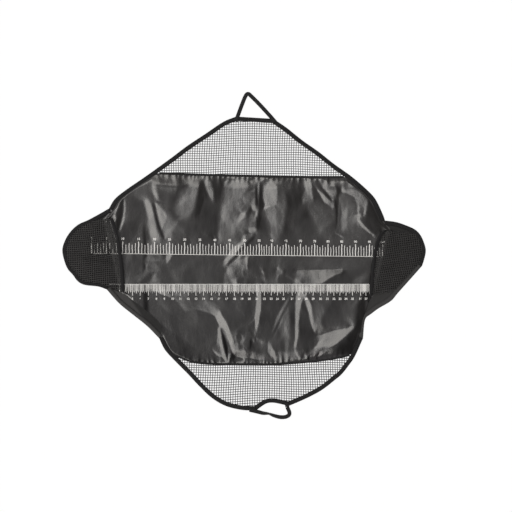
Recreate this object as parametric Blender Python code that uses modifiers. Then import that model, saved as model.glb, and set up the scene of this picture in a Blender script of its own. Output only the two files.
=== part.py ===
"""Fish weigh sling, opened flat, with net wings, end pockets and hanging loops.

Metres, +Z up. X runs along the printed rulers, +Y points to the upper loop, and the
origin is under the middle of the opened sling, on the surface that it lies on.
"""
import math

import bmesh
import bpy
from mathutils import Matrix, Vector
from mathutils.geometry import intersect_line_line_2d

# Overall size of the opened sling, measured outside the edge tapes and the loops.
HALF_WIDTH = 0.6262
HALF_HEIGHT = 0.5625

# Cloth, tape and webbing.
CLEARANCE = 0.0003
ROUNDING = 0.000001
TAPE_WIDTH = 0.015
TAPE_THICKNESS = 0.0008
BACKING_THICKNESS = 0.0008
CLOTH_THICKNESS = 0.0012
SEAM_TAPE_WIDTH = 0.008
SEAM_TAPE_THICKNESS = 0.0008
WEBBING_WIDTH = 0.0122
WEBBING_THICKNESS = 0.0024

# Net of the wings.
NET_PITCH = 0.026
NET_STRAND = 0.0042

# End pockets.
POCKET_HEIGHT = 0.036
HEM_WIDTH = 0.011
HEM_THICKNESS = 0.0008
HEM_CLEARANCE = 0.0005
NET_INSET = 0.004
STANDOFF = 0.0012

# Creases of the coated cloth, from its folding for storage.
CREASE_WIDTH = 0.030
CREASE_HEIGHT = 0.008
PUCKER_MARGIN = 0.060
FLAT_MARGIN = 0.008

# Counts of the cloths' divisions.
PANEL_COLUMNS = 25
PANEL_ROWS = 20
WING_COLUMNS = 24
WING_ROWS = 3
POCKET_COLUMNS = 14
BACKING_COLUMNS = 3
PUCKERS = 6
PUCKER_HEIGHT = 0.007
ARCH_SHARE = 0.7
POCKET_ROW_SHARES = (0.0, 0.2, 0.4, 0.6, 0.8, 0.93, 1.0)

# Levels that the layers lie at, bottom face first.
TAPE_TOP = TAPE_THICKNESS
BACKING_BOTTOM = TAPE_TOP + CLEARANCE
BACKING_TOP = BACKING_BOTTOM + BACKING_THICKNESS
CLOTH_BOTTOM = BACKING_TOP + CLEARANCE
CLOTH_TOP = CLOTH_BOTTOM + CLOTH_THICKNESS
TAPE_HEIGHT = CLOTH_TOP + CLEARANCE + TAPE_THICKNESS
WEBBING_BOTTOM = TAPE_HEIGHT + CLEARANCE
WEBBING_TOP = WEBBING_BOTTOM + WEBBING_THICKNESS
CLOTH_INSET = TAPE_THICKNESS + CLEARANCE
CLOTH_HOLD = TAPE_WIDTH / 2
NET_BORDER = TAPE_WIDTH + STANDOFF
FOLD_GAP = CLEARANCE / 2

# Fold lines that the two wings lift about, above and below the middle of the sling.
UPPER_FOLD_SHARE = 0.3467
LOWER_FOLD_SHARE = -0.5067
UPPER_FOLD_Y = UPPER_FOLD_SHARE * HALF_HEIGHT
LOWER_FOLD_Y = LOWER_FOLD_SHARE * HALF_HEIGHT

# The outline as shares of the half width and half height, followed the way round
# that keeps the cloth on the left hand.
UPPER_LEFT_SHARES = (
    (-0.044, 0.850), (-0.115, 0.817), (-0.214, 0.743), (-0.313, 0.670), (-0.401, 0.596),
    (-0.538, 0.486), (-0.644, 0.405), (-0.709, UPPER_FOLD_SHARE), (-0.742, 0.288),
)
LEFT_POCKET_SHARES = (
    (-0.742, 0.288), (-0.792, 0.256), (-0.855, 0.218), (-0.910, 0.190), (-0.952, 0.148),
    (-0.982, 0.096), (-0.9985, 0.035), (-0.988, -0.030), (-0.969, -0.082), (-0.940, -0.119),
    (-0.914, -0.157), (-0.876, -0.180), (-0.801, -0.190), (-0.754, -0.208),
)
LEFT_FLAP_SHARES = (
    (-0.754, -0.208), (-0.687, -0.292), (-0.615, -0.358), (-0.533, -0.431),
    (-0.466, LOWER_FOLD_SHARE),
)
LOWER_LEFT_SHARES = (
    (-0.466, LOWER_FOLD_SHARE), (-0.434, -0.578), (-0.374, -0.651), (-0.308, -0.725), (-0.247, -0.798),
    (-0.176, -0.872), (-0.099, -0.921), (-0.010, -0.945), (0.066, -0.948),
)
BOTTOM_SHARES = (
    (0.066, -0.948), (0.118, -0.908), (0.154, -0.900), (0.200, -0.908), (0.245, -0.921),
)
LOWER_RIGHT_SHARES = (
    (0.245, -0.921), (0.346, -0.872), (0.429, -0.822), (0.500, -0.761), (0.538, -0.725),
    (0.577, -0.670), (0.610, -0.615), (0.654, LOWER_FOLD_SHARE),
)
RIGHT_EDGE_SHARES = (
    (0.654, LOWER_FOLD_SHARE), (0.665, -0.394), (0.698, -0.358), (0.742, -0.322),
    (0.808, -0.278), (0.846, -0.229), (0.912, -0.147), (0.978, -0.064),
)
RIGHT_POCKET_SHARES = (
    (0.978, -0.064), (0.989, -0.028), (0.9985, 0.020), (0.995, 0.058), (0.973, 0.119),
    (0.940, 0.159), (0.885, 0.187), (0.835, 0.205), (0.775, 0.214),
)
UPPER_RIGHT_SHARES = (
    (0.775, 0.214), (0.762, 0.254), (0.721, UPPER_FOLD_SHARE), (0.665, 0.413), (0.588, 0.486),
    (0.495, 0.560), (0.412, 0.633), (0.319, 0.706), (0.236, 0.780), (0.162, 0.836),
)
TOP_SHARES = ((0.162, 0.836), (-0.044, 0.850))

# Seams between coated cloth and net, left to right.
UPPER_SEAM_SHARES = (
    (-0.580, 0.508), (-0.242, 0.494), (0.066, 0.486), (0.363, 0.480), (0.640, 0.480),
)
LOWER_SEAM_SHARES = (
    (-0.516, -0.511), (-0.420, -0.579), (-0.352, -0.621), (-0.236, -0.658), (0.066, -0.667),
    (0.231, -0.661), (0.456, -0.636), (0.600, -0.600), (0.681, -0.547),
)

# Ends of the coated cloth inside the pockets, top to bottom.
LEFT_CLOTH_END_SHARES = (
    (-0.758, 0.245), (-0.820, 0.170), (-0.862, 0.110), (-0.874, 0.020), (-0.865, -0.080),
    (-0.830, -0.142), (-0.750, -0.195), (-0.673, -0.230), (-0.582, -0.298), (-0.468, -0.405),
    (-0.455, -0.470),
)
RIGHT_CLOTH_END_SHARES = (
    (0.790, 0.180), (0.830, 0.130), (0.850, 0.040), (0.835, -0.070), (0.790, -0.170),
    (0.695, -0.265), (0.668, -0.340), (0.650, -0.400), (0.642, -0.460),
)

# Inner edges of the backings, top to bottom.
LEFT_BACKING_SHARES = (
    (-0.640, 0.325), (-0.610, 0.120), (-0.595, -0.120), (-0.540, -0.300), (-0.420, -0.400),
    (-0.410, -0.515),
)
RIGHT_BACKING_SHARES = (
    (0.660, 0.260), (0.640, 0.080), (0.630, -0.160), (0.615, -0.320), (0.605, -0.515),
)

# Mouths of the pockets, top to bottom.
LEFT_MOUTH_SHARES = (
    (-0.722, 0.228), (-0.703, 0.168), (-0.687, 0.100), (-0.676, 0.030), (-0.668, -0.040),
    (-0.662, -0.110), (-0.658, -0.180),
)
RIGHT_MOUTH_SHARES = (
    (0.766, 0.152), (0.742, 0.120), (0.725, 0.075), (0.712, 0.015), (0.703, -0.050),
    (0.697, -0.120), (0.694, -0.216),
)
# Heights between which the rims hold the pocket nets.
LEFT_HELD_SHARES = (0.226, -0.150)
RIGHT_HELD_SHARES = (0.140, -0.196)

# Creases across the cloth: first point, last point and height.
CREASE_SHARES = (
    ((0.075, 0.500), (0.066, -0.050), 1.0),
    ((0.060, 0.125), (-0.130, -0.060), 0.8),
    ((-0.500, 0.280), (-0.430, 0.020), 1.2),
    ((-0.220, 0.240), (-0.140, 0.080), 1.1),
    ((0.330, 0.300), (0.300, -0.560), 0.9),
    ((-0.150, -0.330), (0.020, -0.560), 1.1),
    ((0.420, -0.540), (0.600, -0.400), 1.0),
    ((0.480, 0.330), (0.620, 0.080), 1.0),
    ((-0.640, -0.060), (-0.120, -0.070), 0.7),
)

# Webbing loops: the lines that they swing about, their centre lines and their feet.
TOP_HINGE_SHARES = ((-0.060, 0.8580), (0.175, 0.8420))
TOP_LOOP_SHARES = (
    (-0.033, 0.8562), (-0.012, 0.920), (0.008, 0.974), (0.022, 0.9885), (0.040, 0.974),
    (0.090, 0.918), (0.151, 0.8436),
)
TOP_FEET_SHARES = (
    ((-0.045, 0.820), (-0.033, 0.8562)),
    ((0.151, 0.8436), (0.172, 0.816)),
)
BOTTOM_HINGE_SHARES = ((0.060, -0.940), (0.260, -0.925))
BOTTOM_LOOP_SHARES = (
    (0.077, -0.956), (0.104, -0.963), (0.137, -0.966), (0.170, -0.980), (0.205, -0.9888),
    (0.236, -0.984), (0.250, -0.965), (0.238, -0.9267),
)
BOTTOM_FEET_SHARES = (
    ((0.030, -0.944), (0.077, -0.956)),
    ((0.238, -0.9267), (0.234, -0.900)),
)

SMOOTH_STEPS = 2
UP = Vector((0.0, 0.0, 1.0))
ACROSS = Vector((1.0, 0.0))


def material(name, colour, roughness, metallic=0.0):
    """A plain finish for one group of pieces."""
    finish = bpy.data.materials.new(name)
    finish.use_nodes = True
    shader = finish.node_tree.nodes["Principled BSDF"]
    shader.inputs["Base Color"].default_value = (*colour, 1.0)
    shader.inputs["Roughness"].default_value = roughness
    shader.inputs["Metallic"].default_value = metallic
    return finish


def at(shares):
    """Points in the plane of the sling from shares of its half width and half height."""
    return [Vector((x * HALF_WIDTH, y * HALF_HEIGHT)) for x, y in shares]


def smooth(points, steps=SMOOTH_STEPS):
    """The points with a smooth curve through them, keeping both ends."""
    ends = [2 * points[0] - points[1], *points, 2 * points[-1] - points[-2]]
    curve = []
    for before, start, end, after in zip(ends, ends[1:], ends[2:], ends[3:]):
        for step in range(steps):
            t = step / steps
            curve.append(0.5 * (
                2 * start + (end - before) * t
                + (2 * before - 5 * start + 4 * end - after) * t ** 2
                + (3 * start - before - 3 * end + after) * t ** 3
            ))
    curve.append(points[-1])
    return curve


def join(*stretches):
    """One path from stretches that share their end points."""
    path = list(stretches[0])
    for stretch in stretches[1:]:
        path += stretch[1:]
    return path


def left_of(direction):
    return Vector((-direction.y, direction.x))


def shifted(path, distance, closed=False):
    """The path moved to its left by the distance, with mitred corners."""
    count = len(path)
    moved = []
    for i, point in enumerate(path):
        before = path[i - 1] if i > 0 or closed else None
        after = path[(i + 1) % count] if i < count - 1 or closed else None
        incoming = (point - before).normalized() if before else (after - point).normalized()
        outgoing = (after - point).normalized() if after else incoming
        side = (left_of(incoming) + left_of(outgoing)).normalized()
        moved.append(point + side * distance / side.dot(left_of(incoming)))
    return moved


def point_at_y(path, y):
    """Where the path crosses the height y."""
    for start, end in zip(path, path[1:]):
        low, high = sorted((start.y, end.y))
        if low - ROUNDING <= y <= high + ROUNDING and high > low:
            share = (y - start.y) / (end.y - start.y)
            return start.lerp(end, min(max(share, 0), 1))
    raise ValueError("the path does not reach this height")


def between(path, top, bottom):
    """The part of a path that lies between two heights, with its ends on them."""
    inner = [point for point in path if bottom + CLEARANCE < point.y < top - CLEARANCE]
    ends = [point_at_y(path, top), point_at_y(path, bottom)]
    if path[0].y < path[-1].y:
        ends.reverse()
    return [ends[0], *inner, ends[1]]


def resampled(path, count):
    """Evenly spaced points along a path, count of them."""
    lengths = [0.0]
    for start, end in zip(path, path[1:]):
        lengths.append(lengths[-1] + (end - start).length)
    points = []
    for i in range(count):
        place = lengths[-1] * i / (count - 1)
        j = next(k for k in range(1, len(lengths)) if place <= lengths[k] or k == len(lengths) - 1)
        span = lengths[j] - lengths[j - 1]
        points.append(path[j - 1].lerp(path[j], min((place - lengths[j - 1]) / span, 1)))
    return points


# Paths of the outline. The left ones run down, the right ones run up.
LEFT_EDGE = join(at(UPPER_LEFT_SHARES), smooth(at(LEFT_POCKET_SHARES)),
                 at(LEFT_FLAP_SHARES), smooth(at(LOWER_LEFT_SHARES)))
RIGHT_EDGE = join(at(LOWER_RIGHT_SHARES), at(RIGHT_EDGE_SHARES),
                  smooth(at(RIGHT_POCKET_SHARES)), at(UPPER_RIGHT_SHARES))
LEFT_CORNER_Y = LEFT_POCKET_SHARES[0][1] * HALF_HEIGHT
RIGHT_CORNER_Y = RIGHT_POCKET_SHARES[-1][1] * HALF_HEIGHT


def pivot(name, place, parent=None):
    """An empty on a joint's axis, which carries the pieces that move with it."""
    empty = bpy.data.objects.new(name, None)
    empty.empty_display_size = TAPE_WIDTH
    empty.location = place
    carry(empty, parent)
    SLING.objects.link(empty)
    return empty


def carry(piece, body):
    """Parent a piece to its body's pivot and keep its place in the world."""
    if body:
        piece.parent = body
        piece.matrix_parent_inverse = Matrix.Translation(-body.location)


def placed(name, data, body, finish):
    """A new object in the sling's collection, carried by its body."""
    piece = bpy.data.objects.new(name, data)
    SLING.objects.link(piece)
    data.materials.append(finish)
    carry(piece, body)
    return piece


def sheet(name, rows, thickness, body, finish):
    """A cloth whose lower face follows rows of points, the rows running upwards or right."""
    columns = len(rows[0])
    shape = bmesh.new()
    bmesh.ops.create_grid(shape, x_segments=columns - 1, y_segments=len(rows) - 1, size=1)
    shape.verts.ensure_lookup_table()
    for i, vert in enumerate(shape.verts):
        vert.co = rows[i // columns][i % columns]
    shape.normal_update()
    if sum(face.normal.z * face.calc_area() for face in shape.faces) < 0:
        bmesh.ops.reverse_faces(shape, faces=shape.faces)
    mesh = bpy.data.meshes.new(name)
    shape.to_mesh(mesh)
    shape.free()
    for polygon in mesh.polygons:
        polygon.use_smooth = True
    piece = placed(name, mesh, body, finish)
    wall = piece.modifiers.new("cloth thickness", "SOLIDIFY")
    wall.thickness = thickness
    wall.offset = 1.0
    wall.use_even_offset = False
    return piece


def leftward(path, start_cut=None, end_cut=None):
    """For each point of a path, the step to its left that shifts the path by one unit.

    A cut is a direction that the end of the piece is trimmed along.
    """
    steps = [there - here for here, there in zip(path, shifted(path, 1))]
    for index, other, cut in ((0, 1, start_cut), (-1, -2, end_cut)):
        if cut:
            run = path[other] - path[index]
            side = left_of(run if index == 0 else -run).normalized()
            steps[index] = cut / cut.dot(side)
    return [step.to_3d() for step in steps]


def swept(name, path, section, sides, body, finish, ups=None):
    """A solid with one section carried along a path of places.

    A point of the section is its distance along the side step and its height.
    """
    ups = ups or [UP] * len(path)
    shape = bmesh.new()
    rings = []
    for place, side, up in zip(path, sides, ups):
        rings.append([shape.verts.new(place + side * across + up * height)
                      for across, height in section])
    for ring, following in zip(rings, rings[1:]):
        for i in range(len(section)):
            shape.faces.new((ring[i - 1], ring[i], following[i], following[i - 1]))
    caps = [shape.faces.new(rings[0]), shape.faces.new(rings[-1])]
    bmesh.ops.recalc_face_normals(shape, faces=shape.faces)
    bmesh.ops.triangulate(shape, faces=caps)
    mesh = bpy.data.meshes.new(name)
    shape.to_mesh(mesh)
    shape.free()
    return placed(name, mesh, body, finish)


def fold_section(width, wall, slot):
    """The section of a tape folded over an edge: two legs of a width and a slot between."""
    height = slot + 2 * wall
    return (
        (0.0, 0.0), (width, 0.0), (width, wall), (wall, wall),
        (wall, height - wall), (width, height - wall), (width, height), (0.0, height),
    )


def strip_section(width, thickness):
    """The section of a flat strip, centred on its path."""
    return (
        (-width / 2, 0.0), (width / 2, 0.0), (width / 2, thickness), (-width / 2, thickness),
    )


def edge_tape(name, path, body, start_cut, end_cut):
    """A tape folded over the edge of the cloth along a path of the outline."""
    section = fold_section(TAPE_WIDTH, TAPE_THICKNESS, TAPE_HEIGHT - 2 * TAPE_THICKNESS)
    route = [point.to_3d() for point in path]
    swept(name, route, section, leftward(path, start_cut, end_cut), body, TAPE)


def strip(name, path, bottom, width, thickness, body, start_cut=None, end_cut=None):
    """A flat strip of tape or webbing along a path, its lower face at a level."""
    route = [point.to_3d() + UP * bottom for point in path]
    sides = leftward(path, start_cut, end_cut)
    return swept(name, route, strip_section(width, thickness), sides, body, TAPE)


def left_part(shape, start, end):
    """The part of a convex shape to the left of the line from start to end."""
    side = left_of(end - start)
    kept = []
    for here, there in zip(shape, shape[1:] + shape[:1]):
        height = (here - start).dot(side)
        following = (there - start).dot(side)
        if height >= 0:
            kept.append(here)
        if (height >= 0) != (following >= 0):
            kept.append(here.lerp(there, height / (height - following)))
    return kept


def holds(field, place):
    """Whether a place lies inside a closed path."""
    crossed = 0
    for start, end in zip(field, field[1:] + field[:1]):
        if (start.y > place.y) != (end.y > place.y):
            share = (place.y - start.y) / (end.y - start.y)
            crossed += start.x + (end.x - start.x) * share > place.x
    return crossed % 2 == 1


def meets(start, end, shape):
    """Whether the line from start to end runs into or across a shape."""
    if holds(shape, start) or holds(shape, end):
        return True
    sides = zip(shape, shape[1:] + shape[:1])
    return any(intersect_line_line_2d(start, end, first, second) for first, second in sides)


def area_of(points):
    return 0.5 * sum(a.cross(b) for a, b in zip(points, points[1:] + points[:1]))


def without_doubles(points):
    kept = []
    for point in points:
        if not kept or (point - kept[-1]).length > CLEARANCE:
            kept.append(point)
    if len(kept) > 1 and (kept[0] - kept[-1]).length <= CLEARANCE:
        kept.pop()
    return kept


def net_gaps(field):
    """The square gaps of a net, each trimmed to a field that keeps its inside on the left."""
    xs = [point.x for point in field]
    ys = [point.y for point in field]
    half = (NET_PITCH - NET_STRAND) / 2
    corners = [Vector(corner) for corner in ((-half, -half), (half, -half), (half, half), (-half, half))]
    gaps = []
    for column in range(math.floor(min(xs) / NET_PITCH), math.ceil(max(xs) / NET_PITCH)):
        for row in range(math.floor(min(ys) / NET_PITCH), math.ceil(max(ys) / NET_PITCH)):
            middle = Vector((column + 0.5, row + 0.5)) * NET_PITCH
            square = [middle + corner for corner in corners]
            gap = square
            for start, end in zip(field, field[1:] + field[:1]):
                if meets(start, end, square):
                    gap = left_part(gap, start, end)
            gap = without_doubles(gap)
            if len(gap) > 2 and area_of(gap) > NET_STRAND * NET_PITCH:
                if holds(field, sum(gap, Vector((0, 0))) / len(gap)):
                    gaps.append(gap)
    return gaps


def net(name, outline, body):
    """A flat net: an outline with square gaps, as a filled curve made solid."""
    curve = bpy.data.curves.new(name, "CURVE")
    curve.dimensions = "2D"
    curve.fill_mode = "BOTH"
    curve.extrude = (CLOTH_TOP - BACKING_BOTTOM) / 2
    border = shifted(outline, CLOTH_INSET, closed=True)
    for loop in [border, *net_gaps(shifted(outline, NET_BORDER, closed=True))]:
        spline = curve.splines.new("POLY")
        spline.points.add(len(loop) - 1)
        for spline_point, point in zip(spline.points, loop):
            spline_point.co = (point.x, point.y, 0.0, 1.0)
        spline.use_cyclic_u = True
    piece = placed(name, curve, body, NET)
    piece.location.z = (CLOTH_TOP + BACKING_BOTTOM) / 2


def crease_height(x, y):
    """How far the creased cloth stands up at a place."""
    here = Vector((x, y))
    height = 0.0
    for first, last, share in CREASE_SHARES:
        start, end = at((first, last))
        along = (here - start).dot(end - start) / (end - start).length_squared
        nearest = start.lerp(end, min(max(along, 0.0), 1.0))
        distance = (here - nearest).length
        height += CREASE_HEIGHT * share * math.exp(-(distance / CREASE_WIDTH) ** 2)
    return height


def ease(distance, margin):
    """From nothing at an edge to one at a margin inside it."""
    t = min(max(distance / margin, 0.0), 1.0)
    return t * t * (3 - 2 * t)


def flat_ended(low, high, count):
    """Even steps from low to high, with one more at the flat margin inside each end."""
    first = low + FLAT_MARGIN
    last = high - FLAT_MARGIN
    return [low, *[first + (last - first) * i / count for i in range(count + 1)], high]


def inner_place(start, end, share):
    """A share of the way from start to end, with the flat margin kept at both ends."""
    step = (end - start).normalized() * FLAT_MARGIN
    return (start + step).lerp(end - step, share)


def panel_edges():
    """Left and right edges of the coated cloth between the fold lines, running down."""
    top = UPPER_FOLD_Y - FOLD_GAP
    bottom = LOWER_FOLD_Y + FOLD_GAP
    inside_left = shifted(LEFT_EDGE, CLOTH_HOLD)
    inside_right = shifted(RIGHT_EDGE, CLOTH_HOLD)
    left = between(inside_left, top, LEFT_CORNER_Y)
    left += [*at(LEFT_CLOTH_END_SHARES), point_at_y(inside_left, bottom)]
    right = between(inside_right, top, RIGHT_CORNER_Y)[::-1]
    right += [*at(RIGHT_CLOTH_END_SHARES), point_at_y(inside_right, bottom)]
    return left, right


def make_centre_panel():
    """The coated cloth between the fold lines, creased where it was folded away."""
    left, right = panel_edges()
    inner_left = max(point.x for point in at(LEFT_MOUTH_SHARES))
    inner_right = min(point.x for point in at(RIGHT_MOUTH_SHARES))
    top = left[0].y
    bottom = left[-1].y
    rows = []
    for y in flat_ended(bottom, top, PANEL_ROWS):
        start = point_at_y(left, y)
        end = point_at_y(right, y)
        row = []
        for i in range(PANEL_COLUMNS + 1):
            place = start.lerp(end, i / PANEL_COLUMNS)
            inside = min(place.x - max(start.x, inner_left), min(end.x, inner_right) - place.x)
            from_fold = min(top - y, y - bottom) - FLAT_MARGIN
            share = ease(inside - TAPE_WIDTH, PUCKER_MARGIN) * ease(from_fold, PUCKER_MARGIN)
            height = CLOTH_BOTTOM + crease_height(place.x, place.y) * share
            row.append((place.x, place.y, height))
        rows.append(row)
    sheet("panel_centre", rows, CLOTH_THICKNESS, None, CLOTH)


def wing_panel(name, level, seam, body):
    """The strip of coated cloth between a fold line and the seam of the net."""
    edges = shifted(LEFT_EDGE, CLOTH_HOLD), shifted(RIGHT_EDGE, CLOTH_HOLD)
    fold_line = [point_at_y(edge, level) for edge in edges]
    first, last = [crossing(seam, edge)[0] for edge in edges]
    seam_line = [first, *[point for point in seam if first.x < point.x < last.x], last]
    fold_points = resampled(fold_line, WING_COLUMNS + 1)
    seam_points = resampled(seam_line, WING_COLUMNS + 1)
    rows = [[(*point, CLOTH_BOTTOM) for point in fold_points]]
    for j in range(WING_ROWS + 1):
        share = j / WING_ROWS
        places = [inner_place(fold_point, seam_point, share)
                  for fold_point, seam_point in zip(fold_points, seam_points)]
        row = []
        for i, place in enumerate(places):
            inside = min((place - places[0]).length, (place - places[-1]).length)
            pucker = 0.5 - 0.5 * math.cos(math.tau * PUCKERS * i / WING_COLUMNS)
            rise = PUCKER_HEIGHT * pucker * math.sin(math.pi * share)
            height = CLOTH_BOTTOM + rise * ease(inside - TAPE_WIDTH, PUCKER_MARGIN)
            row.append((*place, height))
        rows.append(row)
    rows.append([(*point, CLOTH_BOTTOM) for point in seam_points])
    sheet(name, rows, CLOTH_THICKNESS, body, CLOTH)


def corner_cut(path, following):
    """The mitre between the end of one path and the start of the next."""
    incoming = (path[-1] - path[-2]).normalized()
    outgoing = (following[1] - following[0]).normalized()
    return left_of(incoming) + left_of(outgoing)


def backed_off(path, start=0.0, end=0.0):
    """The path made shorter by a length at each end."""
    result = list(path)
    result[0] = result[0] + (result[1] - result[0]).normalized() * start
    result[-1] = result[-1] + (result[-2] - result[-1]).normalized() * end
    return result


def crossing(path, other):
    """Where a path crosses another one, and which way the other runs there."""
    for start, end in zip(path, path[1:]):
        for first, second in zip(other, other[1:]):
            place = intersect_line_line_2d(start, end, first, second)
            if place:
                return place, second - first
    raise ValueError("the two paths do not cross")


def seam_between(seam, inset):
    """The part of a seam between the side edges, and the way each edge runs there."""
    first, start_cut = crossing(seam, shifted(LEFT_EDGE, inset))
    last, end_cut = crossing(seam, shifted(RIGHT_EDGE, inset))
    path = [first, *[point for point in seam if first.x < point.x < last.x], last]
    return path, start_cut, end_cut


def seam_tape(name, seam, body):
    """The narrow tape over a seam between cloth and net, from edge tape to edge tape."""
    path, start_cut, end_cut = seam_between(seam, TAPE_WIDTH + STANDOFF)
    strip(name, path, CLOTH_TOP + CLEARANCE, SEAM_TAPE_WIDTH, SEAM_TAPE_THICKNESS, body,
          start_cut, end_cut)


def make_upper_wing(body):
    """The wing above the upper fold line, all but its loop."""
    level = UPPER_FOLD_Y + FOLD_GAP
    seam = at(UPPER_SEAM_SHARES)
    edge_seam = seam_between(seam, 0.0)[0]
    wing_panel("panel_upper", level, seam, body)
    left = between(LEFT_EDGE, LEFT_EDGE[0].y, level)
    right = between(RIGHT_EDGE, RIGHT_EDGE[-1].y, level)
    top = at(TOP_SHARES)
    net_left = between(LEFT_EDGE, LEFT_EDGE[0].y, edge_seam[0].y)
    net_right = between(RIGHT_EDGE, RIGHT_EDGE[-1].y, edge_seam[-1].y)
    net("net_upper", join(net_left, edge_seam, net_right), body)
    seam_tape("seam_tape_upper", seam, body)
    left_cut = corner_cut(top, left)
    right_cut = corner_cut(right, top)
    half = CLEARANCE / 2
    edge_tape("edge_tape_upper_left", backed_off(left, start=half), body, left_cut, ACROSS)
    edge_tape("edge_tape_upper_right", backed_off(right, end=half), body, ACROSS, right_cut)
    edge_tape("edge_tape_top", backed_off(top, half, half), body, right_cut, left_cut)


def make_lower_wing(body):
    """The wing below the lower fold line, all but its loop."""
    level = LOWER_FOLD_Y - FOLD_GAP
    seam = at(LOWER_SEAM_SHARES)
    edge_seam = seam_between(seam, 0.0)[0]
    wing_panel("panel_lower", level, seam, body)
    left = between(LEFT_EDGE, level, LEFT_EDGE[-1].y)
    right = between(RIGHT_EDGE, level, RIGHT_EDGE[0].y)
    bottom = smooth(at(BOTTOM_SHARES))
    net_left = between(LEFT_EDGE, edge_seam[0].y, LEFT_EDGE[-1].y)
    net_right = between(RIGHT_EDGE, edge_seam[-1].y, RIGHT_EDGE[0].y)
    net("net_lower", join(net_left, bottom, net_right, edge_seam[::-1])[:-1], body)
    seam_tape("seam_tape_lower", seam, body)
    left_cut = corner_cut(left, bottom)
    right_cut = corner_cut(bottom, right)
    half = CLEARANCE / 2
    edge_tape("edge_tape_lower_left", backed_off(left, end=half), body, ACROSS, left_cut)
    edge_tape("edge_tape_lower_right", backed_off(right, start=half), body, right_cut, ACROSS)
    edge_tape("edge_tape_bottom", backed_off(bottom, half, half), body, left_cut, right_cut)


def make_loop(name, loop_shares, feet_shares, cuts, wing, loop_body):
    """A webbing loop and its two sewn feet, which lie on the edge tapes."""
    gap = CLEARANCE / 2
    loop = backed_off(smooth(at(loop_shares)), gap, gap)
    left_foot = backed_off(at(feet_shares[0]), end=gap)
    right_foot = backed_off(at(feet_shares[1]), start=gap)
    strip(name, loop, WEBBING_BOTTOM, WEBBING_WIDTH, WEBBING_THICKNESS, loop_body, *cuts)
    strip(name + "_foot_left", left_foot, WEBBING_BOTTOM, WEBBING_WIDTH, WEBBING_THICKNESS,
          wing, end_cut=cuts[0])
    strip(name + "_foot_right", right_foot, WEBBING_BOTTOM, WEBBING_WIDTH, WEBBING_THICKNESS,
          wing, start_cut=cuts[1])


def rim_between(edge, inset, held, count):
    """Evenly spaced points of a rim, top to bottom, between two heights."""
    part = between(shifted(edge, inset), held[0] * HALF_HEIGHT, held[1] * HALF_HEIGHT)
    if part[0].y < part[-1].y:
        part.reverse()
    return resampled(part, count)


def make_pocket(side, edge, mouth_shares, held_shares, inward):
    """A domed pocket net, its mouth hem and the way it is held by the rim."""
    count = POCKET_COLUMNS + 1
    mouth = resampled(smooth(at(mouth_shares)), count)
    hem_line = [point - inward * (HEM_WIDTH + 2 * HEM_CLEARANCE) for point in mouth]
    foot = rim_between(edge, TAPE_WIDTH + STANDOFF, held_shares, count)
    rim = rim_between(edge, NET_INSET, held_shares, count)
    mouth_base = CLOTH_TOP + 2 * (CLEARANCE + HEM_THICKNESS + HEM_CLEARANCE)
    arch = [POCKET_HEIGHT * math.sin(math.pi * i / POCKET_COLUMNS) ** ARCH_SHARE
            for i in range(count)]
    rows = []
    for share in POCKET_ROW_SHARES:
        base = mouth_base + (CLOTH_BOTTOM - mouth_base) * share ** 4
        row = []
        for i in range(count):
            place = hem_line[i].lerp(foot[i], share)
            row.append((place.x, place.y, base + arch[i] * (1 - share ** 2) ** ARCH_SHARE))
        rows.append(row)
    rows.insert(0, [(point.x, point.y, height[2]) for point, height in zip(mouth, rows[0])])
    rows.append([(point.x, point.y, CLOTH_BOTTOM) for point in rim])
    sheet("pocket_net_" + side, rows, CLOTH_THICKNESS, None, NET)
    edge_points = [Vector(place) for place in rows[0]]
    ups = []
    for i in range(count):
        before = edge_points[max(i - 1, 0)]
        after = edge_points[min(i + 1, count - 1)]
        runs = [(edge_points[i] - before).normalized(), (after - edge_points[i]).normalized()]
        normals = [run.cross(inward.to_3d()).normalized() for run in runs if run.length]
        up = sum(normals, Vector()).normalized()
        ups.append(up if up.z > 0 else -up)
    slot = CLOTH_THICKNESS + 2 * HEM_CLEARANCE
    section = [(across - HEM_THICKNESS - HEM_CLEARANCE, height - HEM_THICKNESS - HEM_CLEARANCE)
               for across, height in fold_section(HEM_WIDTH, HEM_THICKNESS, slot)]
    swept("pocket_hem_" + side, edge_points, section, [-inward.to_3d()] * count, None, TAPE, ups)


def make_backing(name, edge, inner_shares, top):
    """The plain cloth under an end pocket, which shows as the flap below it."""
    bottom = LOWER_FOLD_Y + FOLD_GAP
    outer = between(shifted(edge, CLOTH_INSET), top, bottom)
    if outer[0].y < outer[-1].y:
        outer.reverse()
    inner = at(inner_shares)
    rows = []
    for start in reversed(outer):
        end = point_at_y(inner, start.y)
        ends = sorted((start, end), key=lambda point: point.x)
        rows.append([(*ends[0].lerp(ends[1], i / BACKING_COLUMNS), BACKING_BOTTOM)
                     for i in range(BACKING_COLUMNS + 1)])
    sheet(name, rows, BACKING_THICKNESS, None, BACKING)


for leftover in list(bpy.data.objects):
    bpy.data.objects.remove(leftover, do_unlink=True)

SLING = bpy.data.collections.new("weigh_sling")
bpy.context.scene.collection.children.link(SLING)

CLOTH = material("coated cloth", (0.035, 0.036, 0.040), 0.32)
NET = material("net", (0.030, 0.031, 0.033), 0.70)
TAPE = material("edge tape", (0.016, 0.016, 0.018), 0.75)
BACKING = material("backing cloth", (0.045, 0.046, 0.049), 0.60)

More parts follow.
